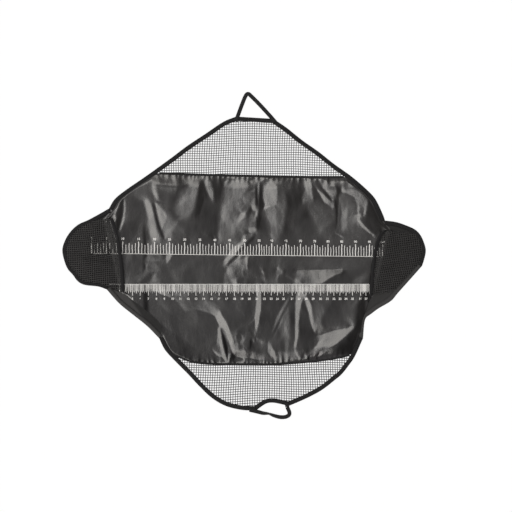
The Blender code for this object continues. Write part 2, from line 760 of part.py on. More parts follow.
upper_pivot = pivot("upper_fold_pivot", (0.0, UPPER_FOLD_Y, TAPE_HEIGHT))
lower_pivot = pivot("lower_fold_pivot", (0.0, LOWER_FOLD_Y, TAPE_HEIGHT))
top_hinge = at(TOP_HINGE_SHARES)
bottom_hinge = at(BOTTOM_HINGE_SHARES)
top_pivot = pivot("top_loop_pivot", (*top_hinge[0], WEBBING_TOP), upper_pivot)
bottom_pivot = pivot("bottom_loop_pivot", (*bottom_hinge[0], WEBBING_TOP), lower_pivot)

make_centre_panel()
make_upper_wing(upper_pivot)
make_lower_wing(lower_pivot)
edge_tape("edge_tape_left", between(LEFT_EDGE, UPPER_FOLD_Y - FOLD_GAP, LOWER_FOLD_Y + FOLD_GAP),
          None, ACROSS, ACROSS)
edge_tape("edge_tape_right", between(RIGHT_EDGE, UPPER_FOLD_Y - FOLD_GAP, LOWER_FOLD_Y + FOLD_GAP),
          None, ACROSS, ACROSS)
make_pocket("left", LEFT_EDGE, LEFT_MOUTH_SHARES, LEFT_HELD_SHARES, ACROSS)
make_pocket("right", RIGHT_EDGE, RIGHT_MOUTH_SHARES, RIGHT_HELD_SHARES, -ACROSS)
make_backing("pocket_backing_left", LEFT_EDGE, LEFT_BACKING_SHARES,
             LEFT_CORNER_Y + TAPE_WIDTH)
make_backing("pocket_backing_right", RIGHT_EDGE, RIGHT_BACKING_SHARES,
             RIGHT_CORNER_Y + TAPE_WIDTH)
top_line = (top_hinge[1] - top_hinge[0]).normalized()
bottom_line = (bottom_hinge[1] - bottom_hinge[0]).normalized()
make_loop("loop_top", TOP_LOOP_SHARES, TOP_FEET_SHARES, (top_line, top_line),
          upper_pivot, top_pivot)
make_loop("loop_bottom", BOTTOM_LOOP_SHARES, BOTTOM_FEET_SHARES,
          (left_of(bottom_line), bottom_line), lower_pivot, bottom_pivot)
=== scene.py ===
"""The looks of the weigh sling: creased coated cloth with printed rulers, open nets,
domed end pockets, folded edge tape, stitching and webbing loops, laid out flat.
"""

import math

import bpy
import numpy as np
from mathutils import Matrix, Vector, noise
from mathutils.bvhtree import BVHTree


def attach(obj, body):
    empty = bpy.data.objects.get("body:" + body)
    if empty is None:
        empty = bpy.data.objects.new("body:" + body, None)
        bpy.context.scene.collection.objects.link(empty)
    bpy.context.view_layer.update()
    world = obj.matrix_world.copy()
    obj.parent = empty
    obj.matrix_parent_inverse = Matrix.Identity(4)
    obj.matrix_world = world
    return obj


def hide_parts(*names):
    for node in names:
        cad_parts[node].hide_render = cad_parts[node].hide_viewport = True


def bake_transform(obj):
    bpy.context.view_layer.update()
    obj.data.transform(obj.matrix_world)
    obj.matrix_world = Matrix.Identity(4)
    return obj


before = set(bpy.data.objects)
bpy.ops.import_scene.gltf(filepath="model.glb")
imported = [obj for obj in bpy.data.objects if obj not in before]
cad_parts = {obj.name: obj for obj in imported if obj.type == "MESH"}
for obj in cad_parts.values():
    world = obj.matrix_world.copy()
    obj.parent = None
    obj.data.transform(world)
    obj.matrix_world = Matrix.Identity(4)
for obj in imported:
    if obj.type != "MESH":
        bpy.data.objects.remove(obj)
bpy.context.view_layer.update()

# Sizes of the sling, in metres, as in its CAD model but for the loops' width.
HALF_WIDTH = 0.6262
HALF_HEIGHT = 0.5625
LOWER_FOLD_Y = -0.285019
TAPE_WIDTH = 0.015
TAPE_THICKNESS = 0.0008
TAPE_HEIGHT = 0.0045
BACKING_TOP = 0.0019
BACKING_THICKNESS = 0.0008
CLOTH_BOTTOM = 0.0022
CLOTH_THICKNESS = 0.0012
CLOTH_TOP = CLOTH_BOTTOM + CLOTH_THICKNESS
WEBBING_BOTTOM = 0.0048
WEBBING_THICKNESS = 0.0024
LOOP_WIDTH = 0.0136
POCKET_HEIGHT = 0.036
HEM_WIDTH = 0.011

# Sizes that only the scene has, in metres: how far inside the sling's edge the cloth and the
# nets end, where the cloth's halves meet, half the band that bends at a fold line, how far a
# backing runs up past its pocket's corner, and those of the nets and the stitches.
CLOTH_INSET = TAPE_WIDTH / 2
NET_INSET = 0.006
HALVES_MEET_Y = -0.0405
BACKING_OVERLAP = 0.014
WING_PITCH = 0.0081
POCKET_PITCH = 0.0073
POCKET_CORD_RADIUS = 0.0011
STITCH_STEP = 0.0042
STITCH_LENGTH = 0.0028

# The sides of a net cord and its height as a share of its width, and the power that rounds the
# pockets' arches.
CORD_SIDES = 6
CORD_HEIGHT_SHARE = 0.85
ARCH_POWER = 0.7

# The height of a seam tape's lower face, and its section, across and up from there.
SEAM_TAPE_BOTTOM = 0.0037
SEAM_TAPE_SECTION = (
    (-0.004, 0.0), (-0.004, 0.0006), (-0.003, 0.0009), (0.003, 0.0009), (0.004, 0.0006), (0.004, 0.0),
)

# The section of the webbing, as shares of half its width and of its thickness.
WEBBING_SECTION_SHARES = (
    (-1.0, 0.5), (-0.96, 0.85), (-0.85, 1.0), (0.0, 1.04), (0.85, 1.0), (0.96, 0.85),
    (1.0, 0.5), (0.96, 0.15), (0.85, 0.0), (0.0, 0.0), (-0.85, 0.0), (-0.96, 0.15),
)

# The photograph's pixels: half its width, the sling's middle and the pixels in each half of it.
PHOTO_HALF = 256
MIDDLE_X, MIDDLE_Y = 244.0, 255.5
PIXELS_WIDE, PIXELS_HIGH = 182.0, 163.5

# The camera, straight above the photograph's middle, and the lights, far off and leant from it.
CAMERA_LENS = 400
SENSOR_WIDTH = 36
CAMERA_HEIGHT = PHOTO_HALF * HALF_WIDTH / PIXELS_WIDE / (SENSOR_WIDTH / 2 / CAMERA_LENS)
LIGHT_FAR = 24.0
LIGHT_LEAN = math.radians(17)

# The outline as shares of the half width and half height: down the left side and up the right.
UPPER_LEFT_SHARES = (
    (-0.044, 0.850), (-0.115, 0.817), (-0.214, 0.743), (-0.313, 0.670), (-0.401, 0.596),
    (-0.538, 0.486), (-0.644, 0.405), (-0.709, 0.3467), (-0.742, 0.288),
)
LEFT_POCKET_SHARES = (
    (-0.742, 0.288), (-0.792, 0.256), (-0.855, 0.218), (-0.910, 0.190), (-0.952, 0.148),
    (-0.982, 0.096), (-0.9985, 0.035), (-0.988, -0.030), (-0.969, -0.082), (-0.940, -0.119),
    (-0.914, -0.157), (-0.876, -0.180), (-0.801, -0.190), (-0.754, -0.208),
)
LEFT_FLAP_SHARES = (
    (-0.754, -0.208), (-0.687, -0.292), (-0.615, -0.358), (-0.533, -0.431), (-0.466, -0.5067),
)
LOWER_LEFT_SHARES = (
    (-0.466, -0.5067), (-0.434, -0.578), (-0.374, -0.651), (-0.308, -0.725), (-0.247, -0.798),
    (-0.176, -0.872), (-0.099, -0.921), (-0.010, -0.945), (0.066, -0.948),
)
BOTTOM_SHARES = (
    (0.066, -0.948), (0.118, -0.908), (0.154, -0.900), (0.200, -0.908), (0.245, -0.921),
)
LOWER_RIGHT_SHARES = (
    (0.245, -0.921), (0.346, -0.872), (0.429, -0.822), (0.500, -0.761), (0.538, -0.725),
    (0.577, -0.670), (0.610, -0.615), (0.654, -0.5067),
)
RIGHT_FLAP_SHARES = (
    (0.654, -0.5067), (0.665, -0.394), (0.698, -0.358), (0.742, -0.322), (0.808, -0.278),
    (0.846, -0.229), (0.912, -0.147), (0.978, -0.064),
)
RIGHT_POCKET_SHARES = (
    (0.978, -0.064), (0.989, -0.028), (0.9985, 0.020), (0.995, 0.058), (0.973, 0.119),
    (0.940, 0.159), (0.885, 0.187), (0.835, 0.205), (0.775, 0.214),
)
UPPER_RIGHT_SHARES = (
    (0.775, 0.214), (0.762, 0.254), (0.721, 0.3467), (0.665, 0.413), (0.588, 0.486),
    (0.495, 0.560), (0.412, 0.633), (0.319, 0.706), (0.236, 0.780), (0.162, 0.836),
)
TOP_SHARES = ((0.162, 0.836), (-0.044, 0.850))
UPPER_SEAM_SHARES = (
    (-0.580, 0.508), (-0.242, 0.494), (0.066, 0.486), (0.363, 0.480), (0.640, 0.480),
)
LOWER_SEAM_SHARES = (
    (-0.516, -0.511), (-0.420, -0.579), (-0.352, -0.621), (-0.236, -0.658), (0.066, -0.667),
    (0.231, -0.661), (0.456, -0.636), (0.600, -0.600), (0.681, -0.547),
)
LEFT_CLOTH_END_SHARES = (
    (-0.758, 0.245), (-0.820, 0.170), (-0.862, 0.110), (-0.874, 0.020), (-0.865, -0.080),
    (-0.830, -0.142), (-0.750, -0.195), (-0.673, -0.230), (-0.582, -0.298), (-0.468, -0.405),
    (-0.455, -0.470),
)
RIGHT_CLOTH_END_SHARES = (
    (0.790, 0.180), (0.830, 0.130), (0.850, 0.040), (0.835, -0.070), (0.790, -0.170),
    (0.695, -0.265), (0.668, -0.340), (0.650, -0.400), (0.642, -0.460),
)
LEFT_BACKING_SHARES = (
    (-0.640, 0.325), (-0.610, 0.120), (-0.595, -0.120), (-0.540, -0.300), (-0.420, -0.400),
    (-0.410, -0.515),
)
RIGHT_BACKING_SHARES = (
    (0.660, 0.260), (0.640, 0.080), (0.630, -0.160), (0.615, -0.320), (0.605, -0.515),
)
LEFT_MOUTH_SHARES = (
    (-0.722, 0.228), (-0.703, 0.168), (-0.687, 0.100), (-0.676, 0.030), (-0.668, -0.040),
    (-0.662, -0.110), (-0.659, -0.180), (-0.658, -0.222),
)
RIGHT_MOUTH_SHARES = (
    (0.766, 0.152), (0.742, 0.120), (0.725, 0.075), (0.712, 0.015), (0.703, -0.050),
    (0.697, -0.120), (0.694, -0.216), (0.692, -0.243),
)
TOP_LOOP_SHARES = (
    (-0.045, 0.820), (-0.033, 0.8562), (-0.012, 0.920), (0.008, 0.974), (0.022, 0.9885),
    (0.040, 0.974), (0.090, 0.918), (0.151, 0.8436), (0.172, 0.816),
)
BOTTOM_LOOP_SHARES = (
    (0.030, -0.944), (0.077, -0.956), (0.104, -0.963), (0.137, -0.966), (0.170, -0.980),
    (0.205, -0.9888), (0.236, -0.984), (0.250, -0.965), (0.238, -0.9267), (0.234, -0.900),
)

# The sides of the coated cloth's folds: how far each leans to the light, or below zero away from
# it, its softness in pixels, and its corners in the photograph's pixels. Later ones lie over
# earlier ones.
FOLD_SIDES = (
    (-0.75, 3.0, ((126, 300), (148, 305), (162, 321), (178, 320), (196, 332), (206, 346), (214, 360),
     (212, 374), (180, 372), (150, 344), (126, 318))),
    (-0.6, 2.0, ((152, 176), (200, 176), (197, 184), (180, 187), (155, 184))),
    (-0.10, 3.0, ((172, 257), (221, 257.5), (221, 284), (160, 284), (158, 272))),
    (-0.30, 1.0, ((274, 257.5), (372, 259), (372, 268.6), (345, 269), (292, 268.5), (274, 268))),
    (-0.9, 3.0, ((369, 196), (376, 204), (385, 222), (376, 236), (360, 222), (362, 217), (367, 206))),
    (-1.0, 3.0, ((356, 304), (366, 292), (366, 320), (361, 338), (352, 349), (332, 353), (346, 337),
     (355, 328))),
    (0.62, 3.0, ((223.7, 184), (242.8, 183), (245.7, 194), (242.8, 213), (243.8, 238), (219.8, 241),
     (218, 234), (219, 218.6), (222.7, 203))),
    (0.55, 2.6, ((199.3, 176.5), (200.7, 181), (194, 205), (189.2, 217), (181.6, 218.6), (175, 211),
     (175.8, 201.4), (181.6, 192), (189, 184))),
    (0.55, 2.6, ((263.4, 208), (271.6, 206), (278.3, 210), (281, 218.6), (279, 232), (277.3, 240.6),
     (271.6, 240.6), (268.7, 232), (267.8, 222.4), (264, 216.7))),
    (0.42, 2.0, ((276.5, 196), (284, 192), (286, 203), (284, 215), (282, 234), (277, 238))),
    (0.44, 2.2, ((340.5, 193.7), (354.8, 198.5), (356.3, 218.6), (354, 228), (341.4, 230),
     (339.5, 218.6))),
    (0.36, 2.5, ((307, 203), (330, 206), (334, 216), (318, 222), (309, 214))),
    (0.36, 3.0, ((312.7, 211), (326, 214.8), (331.9, 222.4), (319.4, 234), (316.6, 232), (313.7, 218.6))),
    (0.24, 3.0, ((176.4, 303.4), (180.6, 311), (191.3, 323), (182, 324.8), (168.4, 319.4), (160.7, 318.7),
     (171.4, 312.5))),
    (0.42, 0.9, ((180, 308), (182.5, 310), (189, 319), (192, 324), (188, 323), (183, 315))),
    (0.24, 3.0, ((311.6, 301.4), (327.7, 303), (322.3, 316.7), (315.4, 326), (313, 315))),
    (0.20, 2.0, ((346.8, 298.4), (357.5, 299), (353.7, 306.8), (349, 312), (346, 310.6))),
    (0.34, 2.0, ((353.9, 279.8), (364.4, 273), (368.2, 277), (366.3, 284.6), (352.9, 284.6))),
    (0.35, 2.0, ((90, 228), (116, 232), (119, 254), (100, 253), (90, 249))),
    (0.45, 1.4, ((124, 269.8), (136.6, 271), (151, 270.8), (146, 276), (138, 284), (124, 284))),
    (0.62, 0.9, ((154.8, 272), (156, 272), (159.5, 284), (147, 284), (150.5, 279))),
    (0.50, 2.4, ((162.4, 208), (172, 216), (177, 224), (168, 236), (160.5, 232), (166, 222))),
    (0.95, 0.9, ((152.8, 204.2), (162.4, 208.5), (167, 216), (165, 222.4), (162, 229), (160.5, 232),
     (156.7, 220.5))),
    (0.85, 1.4, ((143.3, 203.3), (147, 198.5), (150, 201.4), (151, 205.2), (154.8, 218.6), (158, 232),
     (159.5, 239.6), (150, 239.6), (148, 226.2), (147, 214.8))),
    (-0.8, 0.6, ((151.9, 202.3), (154.8, 205.2), (157.6, 220.5), (162.4, 234), (164, 238), (161.5, 238),
     (156, 222.4), (153, 210))),
    (-0.7, 0.7, ((154.8, 201.4), (166, 205.2), (175.8, 212.8), (181.6, 216.7), (175, 214.5),
     (162.4, 207))),
    (0.85, 0.8, ((150.9, 184.6), (154.8, 184), (158.6, 199.4), (155.7, 200.4), (151.9, 192.8))),
    (0.85, 1.0, ((201.7, 175.5), (205.5, 178.4), (210.3, 183.2), (213, 190), (212.7, 202.3),
     (209.3, 197.5), (206, 190), (203.6, 182.2))),
    (-0.8, 0.8, ((199.8, 181.3), (202.7, 184), (204, 200), (199, 216), (194, 218), (196, 204))),
    (0.85, 1.6, ((240.5, 203.3), (244.8, 194), (254.3, 189), (255.5, 237.7), (247, 236), (241.5, 222.4),
     (240, 211))),
    (0.95, 1.0, ((243.8, 232), (249.6, 228), (255.3, 229), (254.8, 235), (245.7, 240.6), (240, 243))),
    (0.90, 0.7, ((235, 178.4), (238, 177.4), (238.5, 182), (237, 187), (235.6, 183))),
    (0.60, 0.7, ((228.4, 176.5), (229.4, 181.3), (224.6, 183.2))),
    (0.80, 1.4, ((224.6, 270.3), (233, 260.7), (246.6, 257), (245.7, 270.3), (246.6, 283.7),
     (222.7, 283.7), (223.7, 275))),
    (0.95, 0.8, ((223.7, 266.4), (223.7, 260.7), (232.3, 249), (239, 243.5), (245.7, 241.6), (254.3, 231),
     (254.3, 235.8), (246.6, 241.6), (239, 249.2), (232.3, 257), (225.6, 265.5))),
    (-1.0, 0.5, ((225.6, 266.4), (232.8, 257.5), (239.5, 249.7), (247, 242), (254.8, 236), (254.8, 238.5),
     (241, 250), (237, 257), (229.4, 263.6))),
    (0.90, 0.6, ((165.3, 255), (172, 255), (170, 259.7), (166.2, 264))),
    (-1.0, 0.8, ((107, 214), (126, 190), (125, 195), (119, 200), (117, 207), (112, 217))),
    (0.60, 0.4, ((125.5, 192.8), (118.3, 198.8), (116.8, 205), (112.4, 215), (114, 215.6), (118.4, 205.5),
     (119.8, 199.8), (126.5, 193.8))),
    (-1.0, 0.5, ((120, 200.5), (123, 200), (123.2, 210), (121.4, 220), (118.2, 230), (117.2, 228),
     (114.5, 217), (118.8, 206.5))),
    (0.75, 0.4, ((123.2, 199), (125, 200), (125.2, 210), (123.8, 221), (119.8, 231.5), (118.6, 230),
     (121.6, 220), (123.3, 210))),
    (-0.40, 0.8, ((122, 257.2), (158, 257), (163, 262), (148, 262.6), (122, 261.8))),
    (0.42, 1.2, ((124, 269.4), (146, 269.0), (159, 270.0), (158, 272.8), (145, 272.4), (124, 273.6))),
    (-1.0, 0.5, ((105, 288), (121.4, 291.5), (138.2, 301), (160, 318), (158, 321), (137, 305),
     (120.5, 295.5), (105, 290.5))),
    (0.35, 0.6, ((197, 227.2), (202, 233), (209.3, 236), (202, 235))),
    (0.70, 0.5, ((213, 235.8), (216, 238.7), (218, 242), (215, 239.7))),
    (0.60, 0.8, ((217.4, 232), (219.8, 232), (221, 242.5), (218.4, 242.5))),
    (0.95, 1.2, ((268.7, 177.4), (271.6, 182), (276.4, 187), (277.8, 196.6), (276.4, 203.3),
     (271.6, 203.3), (265, 208), (263, 209), (262, 196.6), (263, 186), (267.8, 181.3))),
    (0.95, 0.5, ((263.5, 208.2), (271, 204.8), (275, 206), (271, 207), (265, 210))),
    (-1.0, 0.6, ((258.7, 181), (260.5, 196), (264.5, 204.5), (262.5, 210), (260, 212), (260.6, 219),
     (259, 227), (257.8, 215), (258.8, 208), (258.2, 196))),
    (0.75, 0.5, ((257.4, 179.5), (258.8, 179.5), (259, 196.6), (257.8, 205), (257, 196))),
    (0.70, 0.6, ((247.7, 181.3), (258.2, 177.4), (265, 175.5), (266.8, 178.4), (261, 181.3),
     (258.2, 182.2), (252.4, 183.2))),
    (0.70, 1.1, ((304, 177.4), (310.3, 178.4), (311.3, 189), (313.2, 200.4), (307, 201.4), (302.2, 203.3),
     (301.7, 197.5), (305, 189))),
    (0.92, 0.8, ((314.2, 185), (319.4, 190.8), (326, 196.6), (333.8, 201.4), (334.3, 207), (332, 210),
     (328, 205.2), (324.2, 203.3), (320.4, 196.6), (315.6, 188))),
    (0.90, 0.8, ((317.5, 178.4), (323.3, 179.4), (330, 187), (335.7, 187), (336.7, 193.7), (332, 199.4),
     (326, 192), (321.3, 186))),
    (-0.9, 0.4, ((318.4, 185), (326, 193), (332, 200.5), (331, 201.2), (324.5, 195))),
    (0.55, 0.5, ((339, 193.7), (340, 196.6), (339, 212.8), (338.6, 224.3), (336.7, 227.2),
     (337.6, 212.8))),
    (-0.8, 0.5, ((336.2, 198), (337.4, 200), (336.6, 212), (336.8, 224), (335, 229), (335.6, 214))),
    (0.95, 0.8, ((340.5, 188), (360.6, 188.4), (368.2, 195.6), (367.3, 203.3), (365.4, 214.8),
     (362.5, 216.7), (363.4, 207), (359.6, 206), (358.7, 214.8), (356.3, 214.8), (356.7, 207),
     (353.9, 197.5), (345.3, 193.7), (341.4, 192.8))),
    (0.85, 0.5, ((356.3, 214.8), (358.7, 219.5), (363.4, 225.3), (369.2, 231), (375.9, 236), (374, 237.2),
     (367.3, 232), (361.5, 227.2), (357.7, 221.5))),
    (0.85, 0.4, ((335.7, 232.4), (343.3, 237.6), (343.3, 239), (335.7, 234))),
    (1.15, 0.8, ((293.6, 269.6), (343.3, 270), (341.4, 273), (335.7, 275), (329, 279), (321.3, 284.6),
     (316.6, 284.6), (310.8, 279), (299.3, 272.4))),
    (0.70, 0.8, ((284, 273), (289.8, 277), (297.4, 279.8), (303.2, 283.7), (299.3, 284.6), (291.7, 280.8),
     (285, 276))),
    (0.60, 0.7, ((276.4, 266.4), (282, 269.3), (284, 273), (278.3, 275), (276.8, 279.8), (275.9, 271.2))),
    (0.65, 0.5, ((258.2, 265.5), (263, 270.3), (264.9, 278), (264.4, 284.6), (263, 284.6), (262.5, 278),
     (260.6, 270.3))),
    (0.90, 0.4, ((245.4, 256.8), (246.8, 258), (247, 268), (245.8, 269.4))),
    (0.50, 2.6, ((205, 334), (209.7, 343), (213.5, 350), (219, 356), (222, 362.3), (215.8, 358.5),
     (208, 350), (203.6, 341.6), (199, 334))),
    (0.98, 0.9, ((219.2, 310), (222, 315.6), (226.5, 323.3), (229.6, 331), (232.6, 340), (236.5, 350),
     (237.2, 356.2), (232.6, 354), (229.6, 344.7), (225.7, 334), (222.7, 327.8), (219, 326.3),
     (216.6, 323.3), (214, 319.4), (215.8, 315.6))),
    (0.85, 0.6, ((216.6, 326), (219.6, 329), (221.2, 340), (223.5, 350), (225.7, 361.5), (223.5, 361.5),
     (220.4, 350.8), (218, 338.6))),
    (-1.0, 0.5, ((220.6, 330), (225, 338), (227.4, 349), (227, 361), (224.4, 350), (222.2, 340))),
    (0.85, 1.0, ((236.5, 332.4), (240.3, 334), (242, 343), (245.6, 350), (253.3, 343), (255.6, 352),
     (249.5, 358), (240.3, 357), (235.7, 354), (233.4, 346), (235.7, 341.6))),
    (0.65, 0.9, ((249.5, 330), (253.3, 332.4), (254.4, 343), (248.7, 350), (249.5, 341.6), (251, 335.5))),
    (0.90, 0.6, ((255.6, 286), (261, 286), (261, 307.2), (258.6, 320.2), (255.8, 335.5), (254.4, 331),
     (254.8, 315.6), (256, 304))),
    (0.60, 0.5, ((251, 322.5), (254.8, 317), (253.3, 321.7))),
    (0.48, 0.9, ((255.8, 337.4), (262, 340.4), (266.5, 341.2), (262.7, 342.7), (257.3, 343.5),
     (255.8, 341.2))),
    (0.36, 1.6, ((287, 304.5), (289.4, 318.3), (289.4, 333.6), (287, 359.6), (285.6, 359.6), (284, 341),
     (278, 327.4), (283.3, 316.7))),
    (0.42, 0.7, ((288.7, 296), (291, 294.5), (281.8, 313.7), (277.2, 322.8), (272.6, 332), (271, 332.8),
     (276.4, 316.7), (284, 303))),
    (-0.5, 0.5, ((291, 297), (288, 305), (283, 315), (278.6, 325), (274, 333), (277, 325.5),
     (281.8, 315))),
    (0.48, 0.6, ((287, 306), (284, 314.4), (280.2, 326), (273.4, 338), (272.2, 338), (278, 326),
     (281.8, 316.7))),
    (0.80, 0.9, ((267.2, 342), (270.3, 344.3), (274, 351.2), (275.7, 359.6), (274, 360.3), (272.6, 356.5),
     (270.3, 357.3), (269.5, 353.5), (267.2, 352))),
    (0.98, 0.8, ((296.7, 290), (302.4, 291), (304, 298.4), (301, 303), (299.4, 312), (298.6, 322.8),
     (297.8, 336.6), (295.6, 347.3), (294, 347.3), (294.8, 333.6), (294.4, 318.3), (294.8, 305.2),
     (295.6, 296.8))),
    (0.60, 0.5, ((294.4, 347.3), (296.3, 352.7), (300, 359.6), (299, 359.6), (295.6, 354.2),
     (293.6, 349))),
    (0.80, 0.9, ((301, 291.5), (305.5, 295.3), (308.6, 299), (311.6, 306), (312.4, 315.2), (313, 325),
     (315.4, 332), (320.8, 334.3), (319.3, 335), (314, 332.8), (310, 322.8), (307.8, 312), (304.7, 302.2),
     (303.2, 298.4))),
    (1.00, 1.1, ((354.5, 326), (350, 326), (346.8, 329), (335.3, 329.7), (324, 333.6), (320.8, 335),
     (316.2, 335), (319.3, 340.4), (316.2, 345.8), (310, 352), (304, 355.7), (302.4, 359.6),
     (308.6, 358.8), (311.6, 355), (318.5, 352), (321.6, 351.2), (317.7, 357.3), (328.5, 349),
     (336, 344.3), (345.3, 336.6), (353.7, 329))),
    (-1.0, 0.5, ((229, 362), (229.5, 357), (232, 354.4), (235, 355.5), (236.5, 362))),
    (-1.0, 0.5, ((237.5, 361.5), (238, 358), (240.5, 357), (243, 361))),
    (-0.9, 0.5, ((244, 361.5), (246, 358), (250, 358.5), (255, 360), (256, 362))),
    (-1.0, 0.4, ((306, 359.5), (308, 356.5), (310, 356), (309, 359.5))),
    (-1.0, 0.4, ((313, 358.5), (315.5, 354), (319, 353), (316, 358))),
)

# Where the cloth is crinkled finely, in the same pixels.
CRINKLED = (
    ((241, 192), (257, 186), (257, 240), (243, 241), (239, 222)),
    ((223, 262), (246, 250), (247, 284), (223, 284)),
    ((258, 262), (300, 268), (304, 284), (260, 284)),
    ((244, 176), (268, 176), (268, 185), (246, 187)),
    ((234, 332), (256, 330), (256, 360), (236, 358)),
)

# Where the lower left of the cloth lies flat, in the same pixels.
LYING_FLAT = ((110, 302), (146, 306), (176, 326), (206, 352), (216, 385), (110, 385))

# The creases of the pocket nets: how deep each is as a share of the dome, its width in metres
# and its points in the same pixels. Below zero it is a ridge.
LEFT_POCKET_CREASES = (
    (0.30, 0.012, ((62.6, 250.4), (75, 255), (96, 258), (119, 261))),
    (-0.12, 0.010, ((84, 226), (96, 232), (115, 236))),
    (0.18, 0.010, ((72, 232), (84, 244), (100, 247))),
)
RIGHT_POCKET_CREASES = (
    (0.25, 0.012, ((374, 262), (390, 268), (408, 262))),
    (0.15, 0.010, ((386, 232), (400, 244), (414, 240))),
)

# Places of the rulers' bold ticks, left to right, in the same pixels.
CENTIMETRE_TICKS = (
    91.6, 106.5, 122.7, 138.6, 154.4, 169.5, 184.6, 199.9, 214.7, 229.6, 244.7, 259.2, 271.6,
    285.9, 300.4, 314.6, 328.0, 341.7, 355.5, 369.4, 382.5,
)
INCH_TICKS = (
    92.8, 100.7, 108.6, 116.6, 124.5, 132.5, 140.3, 148.4, 156.4, 164.4, 172.5, 180.3, 188.1,
    196.0, 203.5, 211.5, 219.0, 226.4, 234.4, 241.9, 249.3, 257.0, 264.4, 271.2, 277.4, 283.5,
    292.2, 299.1, 306.0, 313.1, 320.5, 327.4, 333.9, 340.0, 345.9, 352.4, 360.4, 366.0, 372.5,
)

# Heights of the rulers in the same pixels: the upper one's base line where it bends, the tops of
# its ticks and the middle of its numbers, then the same of the lower one, which hangs down.
CENTIMETRE_BEND = (122, 245, 370)
CENTIMETRE_BASE = (253.3, 254.9, 256.2)
CENTIMETRE_TOPS = {"bold": 241.6, "even": 243.0, "odd": 244.6}
CENTIMETRE_NUMBERS = 238.8
INCH_BASE = 284.2
INCH_TOP = 284.3
INCH_BOTTOMS = (295.6, 291.4, 292.4, 291.4, 293.4, 291.4, 292.4, 291.4)
INCH_NUMBERS = 298.9
INCH_END = 369.0


# Shader nodes.

class Wire:
    """One output of a node, used in sums as a number is."""

    def __init__(self, maker, socket):
        self.maker = maker
        self.socket = socket

    def maths(self, operation, *terms):
        """A Math node on wires or numbers."""
        return self.maker.node("Math", {"operation": operation}, *terms)

    def __add__(self, other):
        return self.maths("ADD", self, other)

    def __sub__(self, other):
        return self.maths("SUBTRACT", self, other)

    def __mul__(self, other):
        return self.maths("MULTIPLY", self, other)

    def __radd__(self, other):
        return self.maths("ADD", other, self)

    def __rsub__(self, other):
        return self.maths("SUBTRACT", other, self)

    def __rmul__(self, other):
        return self.maths("MULTIPLY", other, self)

    def __abs__(self):
        return self.maths("ABSOLUTE", self)

    def sine(self):
        return self.maths("SINE", self)

    def over(self, limit):
        """By how much the value passes a limit, or nothing."""
        return self.maths("MAXIMUM", self - limit, 0.0)


class Maker:
    """Adds nodes to a material or to the studio's walls."""

    def __init__(self, tree):
        self.nodes = tree.nodes
        self.links = tree.links

    def feed(self, target, value):
        """Links a wire to an input or sets the input to a value; None leaves it alone."""
        if isinstance(value, Wire):
            self.links.new(value.socket, target)
        elif value is not None:
            target.default_value = value

    def node(self, kind, settings=None, *values, output=0, **named):
        """A new node, its inputs fed in order or by name, and one of its outputs as a wire."""
        made = self.nodes.new("ShaderNode" + kind)
        for setting, value in (settings or {}).items():
            setattr(made, setting, value)
        for target, value in zip(made.inputs, values):
            self.feed(target, value)
        for label, value in named.items():
            self.feed(made.inputs[label.replace("_", " ")], value)
        return Wire(self, made.outputs[output])

    def parts(self, vector):
        """The x, y and z of a vector."""
        split = self.node("SeparateXYZ", None, vector).socket.node
        return [Wire(self, part) for part in split.outputs]

    def rising(self, value, start, end):
        """A smooth step, from nothing at the start to one at the end."""
        return self.node("MapRange", {"interpolation_type": "SMOOTHSTEP"}, value, start, end, 0.0, 1.0)


class Look(Maker):
    """A material with its Principled shader."""

    def __init__(self, name, **constants):
        self.material = bpy.data.materials.new(name)
        self.material.use_nodes = True
        super().__init__(self.material.node_tree)
        self.shader = self.nodes["Principled BSDF"]
        for socket, value in constants.items():
            self.shader.inputs[socket.replace("_", " ")].default_value = value

    def place(self):
        """Where a point is on the piece's own map, in metres: the whole, then its two parts."""
        where = self.node("UVMap", {"uv_map": "metres"})
        return where, *self.parts(where)[:2]

    def blotches(self, where, scale, detail=3.0, roughness=0.55, stretch=(1.0, 1.0, 1.0)):
        """Cloudy noise, about one half on the whole."""
        stretched = self.node("Mapping", None, where, Scale=stretch)
        return self.node("TexNoise", {"noise_dimensions": "3D"}, Vector=stretched, Scale=scale,
                         Detail=detail, Roughness=roughness)

    def mix(self, share, first, second):
        """One colour passing into another; the node's five inputs between are for other kinds."""
        return self.node("Mix", {"data_type": "RGBA"}, share, *(None,) * 5, first, second, output=2)

    def relief(self, height, strength, distance):
        """Lets the light fall as on a surface of such heights."""
        bump = self.node("Bump", None, Strength=strength, Distance=distance, Height=height)
        self.feed(self.shader.inputs["Normal"], bump)

    def paint(self, colour, roughness):
        """Gives the shader its colour and roughness."""
        self.feed(self.shader.inputs["Base Color"], colour)
        self.feed(self.shader.inputs["Roughness"], roughness)


# Materials.

